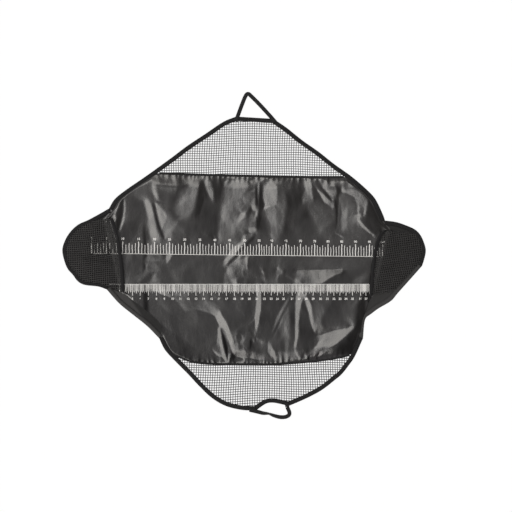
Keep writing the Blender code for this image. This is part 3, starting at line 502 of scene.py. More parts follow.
def coated_cloth_look():
    """Glossy black cloth, greyer where it is worn and scuffed, paler towards the top and the right as
    painted light, and painted nearly black under the pockets as shade, where it is also dull.
    """
    look = Look("coated cloth", Specular_IOR_Level=0.64, IOR=1.5)
    where, across, along = look.place()
    wear = look.blotches(where, 14.0, 4.0)
    scuffs = look.blotches(where, 60.0, 5.0, 0.7, (1.0, 0.35, 1.0))
    # Painted light: besides the random wear, the colour grows paler towards the top and the right of the
    # cloth.
    wear_and_painted_light = wear + along * 1.3 + across * 0.35
    colour = look.mix(wear_and_painted_light, (0.0035, 0.0032, 0.0034, 1), (0.0220, 0.0211, 0.0206, 1))
    colour = look.mix(scuffs.over(0.64) * 2.0, colour, (0.050, 0.049, 0.047, 1))
    thread_turns = math.tau / 0.0011
    threads = (across * thread_turns).sine() + (along * thread_turns).sine()
    ripples = look.blotches(where, 42.0, 4.0, 0.5, (1.0, 0.55, 1.0))
    look.relief(threads * 0.0000010 + ripples * 0.00040, 1.0, 1.0)
    # Painted shade: under the pocket nets the cloth is coloured nearly black; it is also made dull there.
    painted_pocket_shade = look.rising(abs(across - 0.012) - along * 0.24, 0.458, 0.474)
    colour = look.mix(painted_pocket_shade, colour, (0.0030, 0.0030, 0.0031, 1))
    look.paint(colour, 0.13 + wear * 0.06 + scuffs * 0.03 + painted_pocket_shade * 0.75)
    return look.material


def woven_look(name, dark, light, rib, roughness, relief):
    """A woven tape: ribs across its length and a finer thread along it."""
    look = Look(name, Sheen_Weight=0.05, Sheen_Roughness=0.5, Specular_IOR_Level=0.25)
    where, along, across = look.place()
    ribs = abs((along * (math.pi / rib)).sine())
    threads = abs((across * (math.pi / (rib * 1.6)) + along * (math.pi / (rib * 2))).sine())
    weave = ribs * 0.6 + threads * 0.4
    fade = look.blotches(where, 30.0, 3.0)
    colour = look.mix(weave * 0.55 + fade * 0.45, dark, light)
    look.relief(weave, 0.9, relief)
    look.paint(colour, roughness + fade * 0.15)
    return look.material


def cord_look(name, dark, light, roughness):
    """The twisted and coated threads of a net."""
    look = Look(name, Sheen_Weight=0.1, Specular_IOR_Level=0.4)
    where, along, around = look.place()
    twist = abs((along * (math.pi / 0.0021) + around * 900.0).sine())
    fade = look.blotches(where, 40.0, 2.0)
    look.relief(twist, 0.7, 0.0002)
    look.paint(look.mix(twist * 0.5 + fade * 0.5, dark, light), roughness + fade * 0.15)
    return look.material


def ink_look():
    """White print, worn through in patches."""
    look = Look("white print", Specular_IOR_Level=0.4)
    where = look.place()[0]
    wear = look.blotches(where, 260.0, 4.0, 0.7)
    patches = look.blotches(where, 18.0, 2.0)
    worn = (wear * 0.6 + patches * 0.4).over(0.50)
    look.paint(look.mix(worn * 4.0, (0.82, 0.82, 0.80, 1), (0.40, 0.40, 0.39, 1)), 0.38 + wear * 0.2)
    return look.material


def backing_look(name, pale, *shade_lines):
    """Plain grey cloth, its palest grey, and the lines beyond which it is painted nearly black as shade.

    A line is its two slopes and its reach.
    """
    look = Look(name, Sheen_Weight=0.04, Specular_IOR_Level=0.3)
    where, across, along = look.place()
    thread_turns = math.pi / 0.0009
    weave = abs((across * thread_turns).sine()) + abs((along * thread_turns).sine())
    fade = look.blotches(where, 22.0, 4.0)
    look.relief(weave * 0.00004 + fade * 0.0012, 1.0, 1.0)
    colour = look.mix(fade, (pale * 0.52, pale * 0.52, pale * 0.54, 1), (pale, pale * 0.98, pale * 0.96, 1))
    # Painted shade: beyond each line the cloth is coloured nearly black.
    painted_shade = look.mix(fade, (0.0025, 0.0025, 0.0027, 1), (0.0060, 0.0060, 0.0059, 1))
    for slope_x, slope_y, reach in shade_lines:
        beyond = look.rising(across * slope_x + along * slope_y, reach - 0.005, reach + 0.005)
        colour = look.mix(beyond, colour, painted_shade)
    look.paint(colour, 0.5 + fade * 0.15)
    return look.material


CLOTH = coated_cloth_look()
TAPE = woven_look("edge tape", (0.004, 0.004, 0.0045, 1), (0.012, 0.012, 0.013, 1), 0.0011, 0.62, 0.00025)
WEBBING = woven_look("webbing", (0.004, 0.004, 0.0045, 1), (0.015, 0.015, 0.016, 1), 0.0018, 0.6, 0.0005)
WING_CORD = cord_look("wing net cord", (0.012, 0.012, 0.012, 1), (0.040, 0.039, 0.038, 1), 0.5)
POCKET_CORD = cord_look("pocket net cord", (0.014, 0.014, 0.0143, 1), (0.044, 0.043, 0.0415, 1), 0.5)
THREAD = cord_look("sewing thread", (0.020, 0.020, 0.021, 1), (0.060, 0.059, 0.058, 1), 0.55)
INK = ink_look()
# Painted shade on the left backing: under the pocket, and on the flap's inner side beside the coated cloth.
LEFT_BACKING = backing_look("left backing cloth", 0.046, (0.0, 1.0, -0.116), (0.816, 0.578, -0.406))
# Painted shade: the right backing is the same grey cloth at about half the left one's grey, and nearly
# black under its pocket.
SHADED_RIGHT_BACKING = backing_look("right backing cloth in painted shade", 0.024, (0.0, 1.0, -0.116))
FLAP_HEM = backing_look("flap hem", 0.046)


# Paths in the plane of the sling, as rows of x and y.

def at(shares):
    """Places in the plane of the sling from shares of its half width and half height."""
    return np.array(shares) * (HALF_WIDTH, HALF_HEIGHT)


def spot(pixels):
    """Places in the plane of the sling from the photograph's pixels."""
    pixels = np.asarray(pixels, float)
    x = (pixels[..., 0] - MIDDLE_X) * (HALF_WIDTH / PIXELS_WIDE)
    y = (MIDDLE_Y - pixels[..., 1]) * (HALF_HEIGHT / PIXELS_HIGH)
    return np.stack([x, y], -1)


def smooth(points, steps=6):
    """A smooth curve through the points, keeping both ends."""
    points = np.asarray(points, float)
    ends = np.vstack([2 * points[0] - points[1], points, 2 * points[-1] - points[-2]])
    t = np.arange(steps)[:, None] / steps
    curve = []
    for before, start, end, after in zip(ends, ends[1:], ends[2:], ends[3:]):
        curve.append(0.5 * (2 * start + (end - before) * t
                            + (2 * before - 5 * start + 4 * end - after) * t ** 2
                            + (3 * start - before - 3 * end + after) * t ** 3))
    return np.vstack([*curve, points[-1:]])


def join(*stretches):
    """Paths that meet end to end, as one."""
    return np.vstack([stretches[0], *[stretch[1:] for stretch in stretches[1:]]])


def lengths_along(path):
    """How far along the path each of its points is."""
    return np.concatenate([[0.0], np.cumsum(np.linalg.norm(np.diff(path, axis=0), axis=1))])


def resampled(path, step=None, count=None):
    """The path with even steps, of about a length or so many points."""
    along = lengths_along(path)
    count = count or max(2, int(round(along[-1] / step)) + 1)
    places = np.linspace(0, along[-1], count)
    return np.stack([np.interp(places, along, path[:, i]) for i in range(path.shape[1])], -1)


def sides_of(path):
    """For each point, the mitred step to the left of the path."""
    runs = np.diff(path[:, :2], axis=0)
    runs /= np.linalg.norm(runs, axis=1)[:, None]
    lefts = np.stack([-runs[:, 1], runs[:, 0]], -1)
    before = np.vstack([lefts[:1], lefts])
    mitres = before + np.vstack([lefts, lefts[-1:]])
    mitres /= np.linalg.norm(mitres, axis=1)[:, None]
    return mitres / np.maximum(np.sum(mitres * before, axis=1), 0.5)[:, None]


def shifted(path, distance):
    """The path moved to its left."""
    return path + sides_of(path) * distance


def between(seam, left, right):
    """The part of a seam between two places across the sling."""
    return seam[(seam[:, 0] > left) & (seam[:, 0] < right)]


def seam_line(x, seam):
    """The height up the sling of a seam at each x."""
    return np.interp(x, seam[:, 0], seam[:, 1])


def edge_line(y, path):
    """The place across the sling of a path that runs up or down, at each y."""
    order = np.argsort(path[:, 1], kind="stable")
    return np.interp(y, path[order, 1], path[order, 0])


def within(polygon, x, y):
    """Which of the places lie inside a closed polygon."""
    inside = np.zeros(np.shape(x), bool)
    for (x0, y0), (x1, y1) in zip(polygon, np.roll(polygon, -1, axis=0)):
        if y0 != y1:
            crosses = (y0 > y) != (y1 > y)
            inside ^= crosses & (x < x0 + (y - y0) * (x1 - x0) / (y1 - y0))
    return inside


UPPER_LEFT = smooth(at(UPPER_LEFT_SHARES))
LEFT_POCKET = smooth(at(LEFT_POCKET_SHARES))
LEFT_FLAP = smooth(at(LEFT_FLAP_SHARES))
LOWER_LEFT = smooth(at(LOWER_LEFT_SHARES))
BOTTOM = smooth(at(BOTTOM_SHARES))
LOWER_RIGHT = smooth(at(LOWER_RIGHT_SHARES))
RIGHT_FLAP = smooth(at(RIGHT_FLAP_SHARES))
RIGHT_POCKET = smooth(at(RIGHT_POCKET_SHARES))
UPPER_RIGHT = smooth(at(UPPER_RIGHT_SHARES))
TOP = resampled(at(TOP_SHARES), 0.006)
LEFT_EDGE = join(UPPER_LEFT, LEFT_POCKET, LEFT_FLAP, LOWER_LEFT)
RIGHT_EDGE = join(LOWER_RIGHT, RIGHT_FLAP, RIGHT_POCKET, UPPER_RIGHT)
UPPER_SEAM = smooth(at(UPPER_SEAM_SHARES))
LOWER_SEAM = smooth(at(LOWER_SEAM_SHARES))
LEFT_CORNER_Y = LEFT_POCKET_SHARES[0][1] * HALF_HEIGHT
RIGHT_CORNER_Y = RIGHT_POCKET_SHARES[-1][1] * HALF_HEIGHT


def cloth_side(edge, corner_y, end_shares):
    """One edge of the coated cloth, top to bottom: along the sling's, but not in the pocket."""
    taped = shifted(edge, CLOTH_INSET)
    if taped[0, 1] < taped[-1, 1]:
        taped = taped[::-1]
    end = smooth(at(end_shares))
    return np.vstack([taped[taped[:, 1] > corner_y], end, taped[taped[:, 1] < end[-1, 1] - 0.01]])


CLOTH_LEFT = cloth_side(LEFT_EDGE, LEFT_CORNER_Y, LEFT_CLOTH_END_SHARES)
CLOTH_RIGHT = cloth_side(RIGHT_EDGE, RIGHT_CORNER_Y, RIGHT_CLOTH_END_SHARES)


# The coated cloth's folds, as heights on a grid.

GRID_STEP = 0.0026
GRID_X = np.arange(-0.62, 0.62, GRID_STEP)
GRID_Y = np.arange(-0.42, 0.33, GRID_STEP)
GRID = np.meshgrid(GRID_X, GRID_Y)

# The directions in which sides lean that mirror the lights, and those that face away from them.
LIT_FROM, LIT_TO = math.radians(112), math.radians(244)
DIM_FROM, DIM_TO = math.radians(-55), math.radians(70)
DIM_SLOPE = 0.15

# In metres: the widths of the scattered facets, the softness of small creases, how far a fold
# may fall below and rise above the cloth's lying place, how far its loose middle stands up, how
# near its edges it is held down, and how far apart its folds may drift in level. Then the rounds
# in which it settles.
BROAD_FACET = 0.055
FINE_FACET = 0.021
CREASE_SOFTNESS = 0.0016
DEEPEST_FOLD = -0.0018
HIGHEST_FOLD = 0.0098
LOOSE_RISE = 0.0030
HELD_WITHIN = 0.008
LEVEL_WITHIN = 0.30
SETTLING_ROUNDS = 140


def ease(share):
    """A smooth step from nothing to one."""
    share = np.clip(share, 0.0, 1.0)
    return share * share * (3 - 2 * share)


def blurred(field, width):
    """The field softened by a bell curve of a width in metres."""
    kx = np.fft.fftfreq(field.shape[1], GRID_STEP) * math.tau
    ky = np.fft.fftfreq(field.shape[0], GRID_STEP) * math.tau
    bell = np.exp(-0.5 * (kx[None, :] ** 2 + ky[:, None] ** 2) * width ** 2)
    return np.real(np.fft.ifft2(np.fft.fft2(field) * bell))


def zone(polygon, softness):
    """One on the grid inside a polygon and nothing outside, with a soft edge."""
    return blurred(within(polygon, *GRID).astype(float), softness)


def facing(corners, first, last):
    """The direction, from +x, in which a fold's side leans: across its length, within limits."""
    places = corners - corners.mean(0)
    ways = np.linalg.eigh(places.T @ places)[1]
    turn = math.atan2(ways[1, 0], ways[0, 0]) % math.pi
    for choice in (turn, turn + math.pi, turn - math.pi):
        if first <= choice <= last:
            return choice
    return min((first, last), key=lambda limit: abs(math.remainder(turn - limit, math.pi)))


def mirror_slopes(turn, lean):
    """The slopes that mirror a light, at a lean from the vertical, up into the camera."""
    x, y = GRID
    reach = LIGHT_FAR * np.sin(lean)
    to_light = np.stack([reach * np.cos(turn) - x, reach * np.sin(turn) - y,
                         LIGHT_FAR * np.cos(lean) + 0 * x])
    to_camera = np.stack([-x, -y, np.full_like(x, CAMERA_HEIGHT)])
    facing_way = to_light / np.linalg.norm(to_light, axis=0) + to_camera / np.linalg.norm(to_camera, axis=0)
    return -facing_way[0] / facing_way[2], -facing_way[1] / facing_way[2]


def settled(push_x, push_y, firmness, free, low, high):
    """The heights whose slopes come nearest the wished ones, above all where these are firm."""
    kx = np.fft.fftfreq(push_x.shape[1])[None, :] * math.tau
    ky = np.fft.fftfreq(push_x.shape[0])[:, None] * math.tau
    stiffness = (4 - 2 * np.cos(kx) - 2 * np.cos(ky)) / GRID_STEP ** 2 + (1 / LEVEL_WITHIN) ** 2
    heights = np.zeros_like(push_x)
    for _ in range(SETTLING_ROUNDS):
        slope_x = (np.roll(heights, -1, 1) - heights) / GRID_STEP
        slope_y = (np.roll(heights, -1, 0) - heights) / GRID_STEP
        slope_x += firmness * (push_x - slope_x)
        slope_y += firmness * (push_y - slope_y)
        spread = (slope_x - np.roll(slope_x, 1, 1) + slope_y - np.roll(slope_y, 1, 0)) / GRID_STEP
        heights = np.clip(np.real(np.fft.ifft2(-np.fft.fft2(spread) / stiffness)) * free, low, high)
    return heights


def facets(spacing, rng):
    """Which flat facet each grid point is on: that of the nearest of some scattered centres."""
    x, y = GRID
    nearest, number, count = np.full(x.shape, np.inf), np.zeros(x.shape, int), 0
    reach = int(2 * spacing / GRID_STEP)
    for row in np.arange(GRID_Y[0], GRID_Y[-1] + spacing, spacing):
        for column in np.arange(GRID_X[0], GRID_X[-1] + spacing, spacing):
            across, up = rng.uniform(-0.5, 0.5, 2) * spacing + (column, row)
            i, j = int((across - GRID_X[0]) / GRID_STEP), int((up - GRID_Y[0]) / GRID_STEP)
            part = np.s_[max(j - reach, 0):max(j + reach, 0), max(i - reach, 0):max(i + reach, 0)]
            away = (x[part] - across) ** 2 + (y[part] - up) ** 2 * rng.uniform(0.4, 1.0)
            closer = away < nearest[part]
            nearest[part][closer] = away[closer]
            number[part][closer] = count
            count += 1
    return number, count


def fold_heights(free, low, high):
    """The folds, each side leaning as the light on it in the photograph asks."""
    pixel = HALF_WIDTH / PIXELS_WIDE
    rng = np.random.default_rng(21)
    number, count = facets(BROAD_FACET, rng)
    lean = rng.uniform(0.0, 0.050, count)
    turn = rng.uniform(0, math.tau, count)
    push_x = blurred((lean * np.cos(turn))[number], 0.003)
    push_y = blurred((lean * np.sin(turn))[number], 0.003)
    firmness = np.full_like(push_x, 0.13)
    creases = np.zeros_like(push_x)
    for level, softness, corners in FOLD_SIDES:
        polygon = spot(corners)
        side = zone(polygon, softness * pixel * 0.5)
        creases = np.maximum(creases * (1 - side), side if level < 0 else 0)
        if level > 0:
            wish_x, wish_y = mirror_slopes(facing(polygon, LIT_FROM, LIT_TO), LIGHT_LEAN * level)
        else:
            away = facing(polygon, DIM_FROM, DIM_TO)
            wish_x, wish_y = DIM_SLOPE * level * math.cos(away), DIM_SLOPE * level * math.sin(away)
        push_x += side * (wish_x - push_x)
        push_y += side * (wish_y - push_y)
        firmness += side * (1 - firmness)
    number, count = facets(FINE_FACET, rng)
    turn = rng.uniform(LIT_FROM, LIT_TO, count)
    turn = np.where(rng.uniform(0, 1, count) < 0.25, turn + math.pi, turn)[number]
    level = rng.uniform(0.30, 1.05, count)[number]
    wish_x, wish_y = mirror_slopes(turn, LIGHT_LEAN * level)
    crinkled = np.clip(sum(zone(spot(corners), 0.007) for corners in CRINKLED), 0, 1)
    share = (0.14 + 0.74 * crinkled) * (1 - np.clip(creases, 0, 1)) * np.clip(firmness * 2 - 0.4, 0, 1)
    push_x += share * (blurred(wish_x, CREASE_SOFTNESS) - push_x)
    push_y += share * (blurred(wish_y, CREASE_SOFTNESS) - push_y)
    firmness += share * (0.9 - firmness)
    return settled(push_x, push_y, firmness, free, low, high)


def crumple_heights():
    """Small flat facets between sharp folds, from triangle waves that cross."""
    x, y = GRID
    rng = np.random.default_rng(7)
    warp_x = blurred(rng.standard_normal(x.shape), 0.030)
    warp_y = blurred(rng.standard_normal(x.shape), 0.030)
    warp_x *= 0.012 / warp_x.std()
    warp_y *= 0.012 / warp_y.std()
    total = np.zeros_like(x)
    for turn, length, height in ((0.15, 0.083, 0.0003), (1.02, 0.117, 0.0003), (-0.55, 0.097, 0.0003),
                                 (0.62, 0.052, 0.0001), (-1.1, 0.061, 0.0001)):
        phase = ((x + warp_x) * math.cos(turn) + (y + warp_y) * math.sin(turn)) / length + turn * 3
        total += height * np.abs(2 * (phase - np.floor(phase)) - 1)
    return blurred(total, CREASE_SOFTNESS)


def pucker_heights():
    """Gathers of the cloth beside its two seams."""
    x, y = GRID
    rng = np.random.default_rng(3)
    total = np.zeros_like(x)
    for seam, side in ((UPPER_SEAM, 1), (LOWER_SEAM, -1)):
        depth = (seam_line(x, seam) - y) * side
        for place in np.cumsum(rng.uniform(0.010, 0.024, 60)) - 0.50:
            reach = rng.uniform(0.012, 0.034)
            width = rng.uniform(0.0024, 0.0050)
            lean = rng.uniform(-0.3, 0.3)
            ridge = np.exp(-((x - place - lean * depth) / (width * (1 + depth / 0.02))) ** 2)
            fall = np.clip(depth / 0.004, 0, 1) * np.exp(-np.clip(depth, 0, None) / reach * 1.6)
            total += np.where(depth > 0, ridge * fall, 0) * rng.uniform(0.0005, 0.0014)
    return total


def cloth_margins():
    """How far each grid point is inside the cloth's sides, its sides and hems, and its seams."""
    x, y = GRID
    loose = 0.03 * ease((-0.130 - y) / 0.06) * ease((y + 0.275) / 0.03)
    inside = np.minimum(x - edge_line(y, CLOTH_LEFT), edge_line(y, CLOTH_RIGHT) - x)
    inside = inside - (TAPE_WIDTH - CLOTH_INSET) + loose
    hems = inside.copy()
    for mouth, way in ((at(LEFT_MOUTH_SHARES), 1), (at(RIGHT_MOUTH_SHARES), -1)):
        beside = (y > mouth[:, 1].min()) & (y < mouth[:, 1].max())
        hems = np.where(beside, np.minimum(hems, (x - edge_line(y, mouth)) * way + 0.010), hems)
        for end in mouth[[0, -1]]:
            inside = np.minimum(inside, np.hypot(x - end[0], y - end[1]) - 0.006)
    seams = np.minimum(seam_line(x, UPPER_SEAM) - y, y - seam_line(x, LOWER_SEAM))
    return inside, hems, seams


def relief_grid():
    """The height of the cloth above its lying place at each grid point."""
    inside, hems, seams = cloth_margins()
    lying = zone(spot(LYING_FLAT), 0.028)
    held = np.exp(-(np.clip(np.minimum(inside, seams) + HELD_WITHIN * lying, 0, None) / HELD_WITHIN) ** 2)
    rise = LOOSE_RISE * ease(hems / HELD_WITHIN) * ease((seams - 0.003) / 0.045) * (1 - lying)
    low = DEEPEST_FOLD + 0.0020 * ease((np.abs(GRID[0] - 0.01) - 0.335) / 0.025)
    folds = fold_heights(1 - 0.25 * held, low - rise, HIGHEST_FOLD - rise) + crumple_heights()
    edge = 0.006 - 0.0038 * lying
    heights = rise + folds * ease(inside / edge) * ease(seams / edge)
    heights = heights + pucker_heights() * ease(inside / 0.03)
    room = 0.0003
    return np.where(heights > low + room, heights,
                    low + room * np.exp(np.minimum(heights - low - room, 0) / room))


RELIEF = relief_grid()


def relief_at(x, y):
    """The height of the cloth above its lying place, by straight lines between grid points."""
    i = np.clip((np.asarray(x) - GRID_X[0]) / GRID_STEP, 0, len(GRID_X) - 1.001)
    j = np.clip((np.asarray(y) - GRID_Y[0]) / GRID_STEP, 0, len(GRID_Y) - 1.001)
    i0, j0 = i.astype(int), j.astype(int)
    s, t = i - i0, j - j0
    return ((RELIEF[j0, i0] * (1 - s) + RELIEF[j0, i0 + 1] * s) * (1 - t)
            + (RELIEF[j0 + 1, i0] * (1 - s) + RELIEF[j0 + 1, i0 + 1] * s) * t)


# Meshes.

def new_piece(name, points, faces, uvs, material, soft_edges=True):
    """A mesh object from points, faces and a map in metres for each point."""
    mesh = bpy.data.meshes.new(name)
    mesh.from_pydata([tuple(point) for point in points], [], [tuple(face) for face in faces])
    layer = mesh.uv_layers.new(name="metres")
    corners = np.zeros(len(mesh.loops), np.int32)
    mesh.loops.foreach_get("vertex_index", corners)
    layer.data.foreach_set("uv", np.asarray(uvs, np.float32)[corners].ravel())
    mesh.polygons.foreach_set("use_smooth", [soft_edges] * len(mesh.polygons))
    mesh.materials.append(material)
    mesh.validate()
    piece = bpy.data.objects.new(name, mesh)
    bpy.context.scene.collection.objects.link(piece)
    return piece


def pick(piece):
    """Makes the piece the only one selected, for the tools that work on the selection."""
    for other in bpy.context.selected_objects:
        other.select_set(False)
    bpy.context.view_layer.objects.active = piece
    piece.select_set(True)


def faced_out(piece):
    """The piece with all its faces turned outwards."""
    pick(piece)
    bpy.ops.object.mode_set(mode="EDIT")
    bpy.ops.mesh.select_all(action="SELECT")
    bpy.ops.mesh.normals_make_consistent(inside=False)
    bpy.ops.object.mode_set(mode="OBJECT")
    return piece


def grid_faces(rows, columns):
    """The faces between the points of a grid."""
    index = np.arange(rows * columns).reshape(rows, columns)
    return np.stack([index[:-1, :-1], index[:-1, 1:], index[1:, 1:], index[1:, :-1]], -1).reshape(-1, 4)


def tube_faces(rings, corners, base=0):
    """The faces of a tube of rings, each of so many corners, and of its two ends."""
    index = base + np.arange(rings * corners).reshape(rings, corners)
    turned = np.roll(index, -1, axis=1)
    walls = np.stack([index[:-1], turned[:-1], turned[1:], index[1:]], -1).reshape(-1, 4).tolist()
    return [*walls, index[0][::-1].tolist(), index[-1].tolist()]


def surface(name, points, material, thickness):
    """A cloth from a grid of points, rows running up and columns running right."""
    places = points.reshape(-1, 3)
    piece = new_piece(name, places, grid_faces(*points.shape[:2]), places[:, :2], material)
    pick(piece)
    solidify = piece.modifiers.new("thickness", "SOLIDIFY")
    solidify.thickness = thickness
    solidify.offset = -1.0
    solidify.use_even_offset = False
    bpy.ops.object.modifier_apply(modifier=solidify.name)
    bpy.ops.object.shade_smooth_by_angle(angle=math.radians(60))
    return piece


def sweep(name, path, sides, ups, section, material):
    """A section carried along a path of places; its points are across and height."""
    section = np.asarray(section)
    around = lengths_along(np.vstack([section, section[:1]]))[:-1]
    points = (path[:, None, :] + sides[:, None, :] * section[None, :, :1]
              + ups[:, None, :] * section[None, :, 1:])
    uvs = np.stack(np.broadcast_arrays(lengths_along(path)[:, None], around[None, :]), -1)
    faces = tube_faces(len(path), len(section))
    return faced_out(new_piece(name, points.reshape(-1, 3), faces, uvs.reshape(-1, 2), material))


def flat(path, height=0.0):
    """A path or its steps in the plane, as places or steps in space."""
    return np.column_stack([path, np.full(len(path), height)])


def straight_up(count):
    """So many steps straight up."""
    return np.tile([0.0, 0.0, 1.0], (count, 1))


def dress(piece, body, node):
    """Ties a piece to its body and hides the CAD part that it takes the place of."""
    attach(piece, body)
    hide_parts(node)


# Tape and stitching.

def edge_tape(name, path, material):
    """A tape folded over the edge, with the small waves of a sewn binding."""
    width, top, wall = TAPE_WIDTH, TAPE_HEIGHT, TAPE_THICKNESS
    outer = [(width, top), (width * 0.6, top), (0.0026, top), (0.0010, top - 0.0004),
             (0.0002, top - 0.0013), (0.0, top / 2), (0.0002, 0.0013), (0.0010, 0.0004),
             (0.0026, 0.0), (width, 0.0)]
    inner = [(width, wall), (0.0028, wall), (0.0014, 0.0016), (0.0014, top - 0.0016),
             (0.0028, top - wall), (width * 0.6, top - wall), (width, top - wall)]
    path = resampled(path, 0.005)
    waves = np.array([noise.noise(Vector((place * 28, 3.7, path[0][0]))) for place in lengths_along(path)])
    sides = flat(sides_of(path) * (1 + 0.05 * waves)[:, None])
    ups = straight_up(len(path)) * (1 + 0.06 * waves)[:, None]
    return sweep(name, flat(path), sides, ups, outer + inner, material)


def stitches(name, path, height):
    """A row of thread stitches along a path, each a short flat-ended bead."""
    along = lengths_along(path)
    ring = np.array([(0.0, 1.0), (0.87, 0.5), (0.87, -0.5), (0.0, -1.0), (-0.87, -0.5), (-0.87, 0.5)])
    points, faces, uvs = [], [], []
    for start in np.arange(STITCH_STEP / 2, along[-1] - STITCH_LENGTH, STITCH_STEP):
        faces += tube_faces(3, len(ring), len(points))
        places = [np.array([np.interp(start + STITCH_LENGTH * share, along, path[:, i]) for i in range(2)])
                  for share in (0, 0.5, 1)]
        run = places[2] - places[0]
        run /= np.linalg.norm(run)
        left = np.array([-run[1], run[0], 0.0])
        for number, (size, rise) in enumerate(((0.00012, 0.0), (0.00038, 0.0003), (0.00012, 0.0))):
            middle = np.array([*places[number], height + rise])
            for across, up in ring:
                points.append(middle + left * across * size + np.array([0, 0, 1.0]) * up * size)
                uvs.append((start + number * STITCH_LENGTH / 2, across * 0.0004))
    return faced_out(new_piece(name, points, faces, uvs, THREAD))


# Nets.

def cords(name, lines, radius, material):
    """Net strands: each line is a run of places, made a six-sided cord."""
    turns = np.arange(CORD_SIDES) * math.tau / CORD_SIDES
    ring = np.column_stack([np.cos(turns), np.sin(turns) * CORD_HEIGHT_SHARE]) * radius
    around = np.arange(CORD_SIDES)[None, :] * radius
    points, faces, uvs = [], [], []
    base = 0
    for line in lines:
        rings = line[:, None, :] + flat(sides_of(line))[:, None, :] * ring[None, :, :1]
        rings[:, :, 2] += ring[None, :, 1]
        points.append(rings.reshape(-1, 3))
        faces += tube_faces(len(line), CORD_SIDES, base)
        uvs.append(np.stack(np.broadcast_arrays(lengths_along(line)[:, None], around), -1).reshape(-1, 2))
        base += len(line) * CORD_SIDES
    return faced_out(new_piece(name, np.vstack(points), faces, np.vstack(uvs), material))


def runs_inside(line, inside):
    """The stretches of a line whose points are inside, two points or more."""
    runs, current = [], []
    for point, kept in zip(line, inside):
        if kept:
            current.append(point)
        elif current:
            runs.append(current)
            current = []
    if current:
        runs.append(current)
    return [np.array(run) for run in runs if len(run) > 1]


def net_lines(box, pitch, step, warp, level, keep, turn=0.0):
    """Woven strands of a square net over a box, warped, and kept where keep says."""
    low, high = box
    middle = (np.array(low) + high) / 2
    reach = np.linalg.norm(np.array(high) - low) / 2
    count = int(reach / pitch) + 1
    places = np.arange(-reach, reach + step, step)
    lines = []
    for weave_side in (-1, 1):
        for k in range(-count, count + 1):
            u, v = np.full(len(places), k * pitch), places
            if weave_side == 1:
                u, v = v, u
            x = middle[0] + u * math.cos(turn) - v * math.sin(turn)
            y = middle[1] + u * math.sin(turn) + v * math.cos(turn)
            x, y = warp(x, y)
            weave = 0.0004 * np.cos(places / pitch * math.pi + k * math.pi) * weave_side
            z, inside = keep(x, y)
            lines += runs_inside(np.column_stack([x, y, z + level + weave]), inside)
    return lines


def make_wing_net(name, outline, box, warp, radius, body, node):
    """A wing's open net, its strands running under the tape and the seam."""
    def keep(x, y):
        """The net lies level wherever the wing's outline holds it."""
        return np.zeros(len(x)), within(outline, x, y)

    net = cords(name, net_lines(box, WING_PITCH, 0.004, warp, 0.0024, keep), radius, WING_CORD)
    dress(net, body, node)


def upper_warp(x, y):
    """How the upper wing's net is drawn out of square."""
    return (x + 0.0030 * np.sin(y * 14 + 0.6) + 0.0012 * np.sin(x * 17 + y * 23),
            y + 0.0040 * np.sin(x * 6.5 + 1.1) + 0.0010 * np.sin(x * 31 - y * 12))


def lower_warp(x, y):
    """How the lower wing's net is drawn out of square, most of all near the bottom loop."""
    depth = np.clip((-0.40 - y) / 0.13, 0, 1)
    return (x + 0.006 * depth * np.sin((x - 0.05) * 9) + 0.0014 * np.sin(y * 29 + x * 8),
            y + 0.012 * depth * np.cos((x - 0.10) * 7.5) - 0.012 * depth + 0.0014 * np.sin(x * 24 + y * 13))


def pocket_warp(x, y):
    """How a pocket's net is drawn out of square."""
    return x + 0.0025 * np.sin(y * 31 + x * 9), y + 0.0022 * np.sin(x * 27 - y * 8 + 1)


def net_edge(edge, seam, way):
    """The part of a wing's edge, a little inside it, that is above or below a seam."""
    inside = shifted(edge, NET_INSET)
    return inside[(inside[:, 1] - seam_line(inside[:, 0], seam)) * way > 0]


# Pockets and their backings.

def pocket_shape(mouth_shares, edge, held_shares, inward, count=43, rows=30):
    """A pocket's mouth, and its dome as a grid of points from there to the rim.

    The rim is held by the edge tape between two heights, and inward is 1 or -1 across.
    """
    mouth = resampled(smooth(at(mouth_shares)), count=count)
    hem_line = mouth - np.array([inward, 0.0]) * (HEM_WIDTH + 0.001)
    rim = shifted(edge, TAPE_WIDTH - 0.004)
    top, bottom = np.array(held_shares) * HALF_HEIGHT
    rim = rim[(rim[:, 1] < top) & (rim[:, 1] > bottom)]
    if rim[0, 1] < rim[-1, 1]:
        rim = rim[::-1]
    foot = resampled(rim, count=count)
    arch = POCKET_HEIGHT * np.sin(math.pi * np.arange(count) / (count - 1)).clip(0) ** ARCH_POWER
    mouth_base = CLOTH_TOP + 0.0032
    grid = []
    for share in 1 - (1 - np.linspace(0, 1, rows)) ** 1.4:
        base = mouth_base + (CLOTH_BOTTOM + 0.0014 - mouth_base) * share ** 4
        plan = hem_line + (foot - hem_line) * share
        grid.append(np.column_stack([plan, base + arch * (1 - share ** 2) ** ARCH_POWER]))
    first = np.column_stack([mouth, grid[0][:, 2]])
    return first, np.array([first, *grid])


def grid_area(grid):
    """The area of a cloth given as a grid of points."""
    down = grid[1:, :-1] - grid[:-1, :-1]
    right = grid[:-1, 1:] - grid[:-1, :-1]
    return np.linalg.norm(np.cross(down, right), axis=-1).sum()


def near_line(grid, corners, width):
    """How near each point of a grid is to a crease, 1 on it and fading over the width."""
    crease = resampled(spot(corners), 0.004)
    away = np.linalg.norm(grid[..., None, :2] - crease, axis=-1).min(-1)
    return np.exp(-(away / width) ** 2)


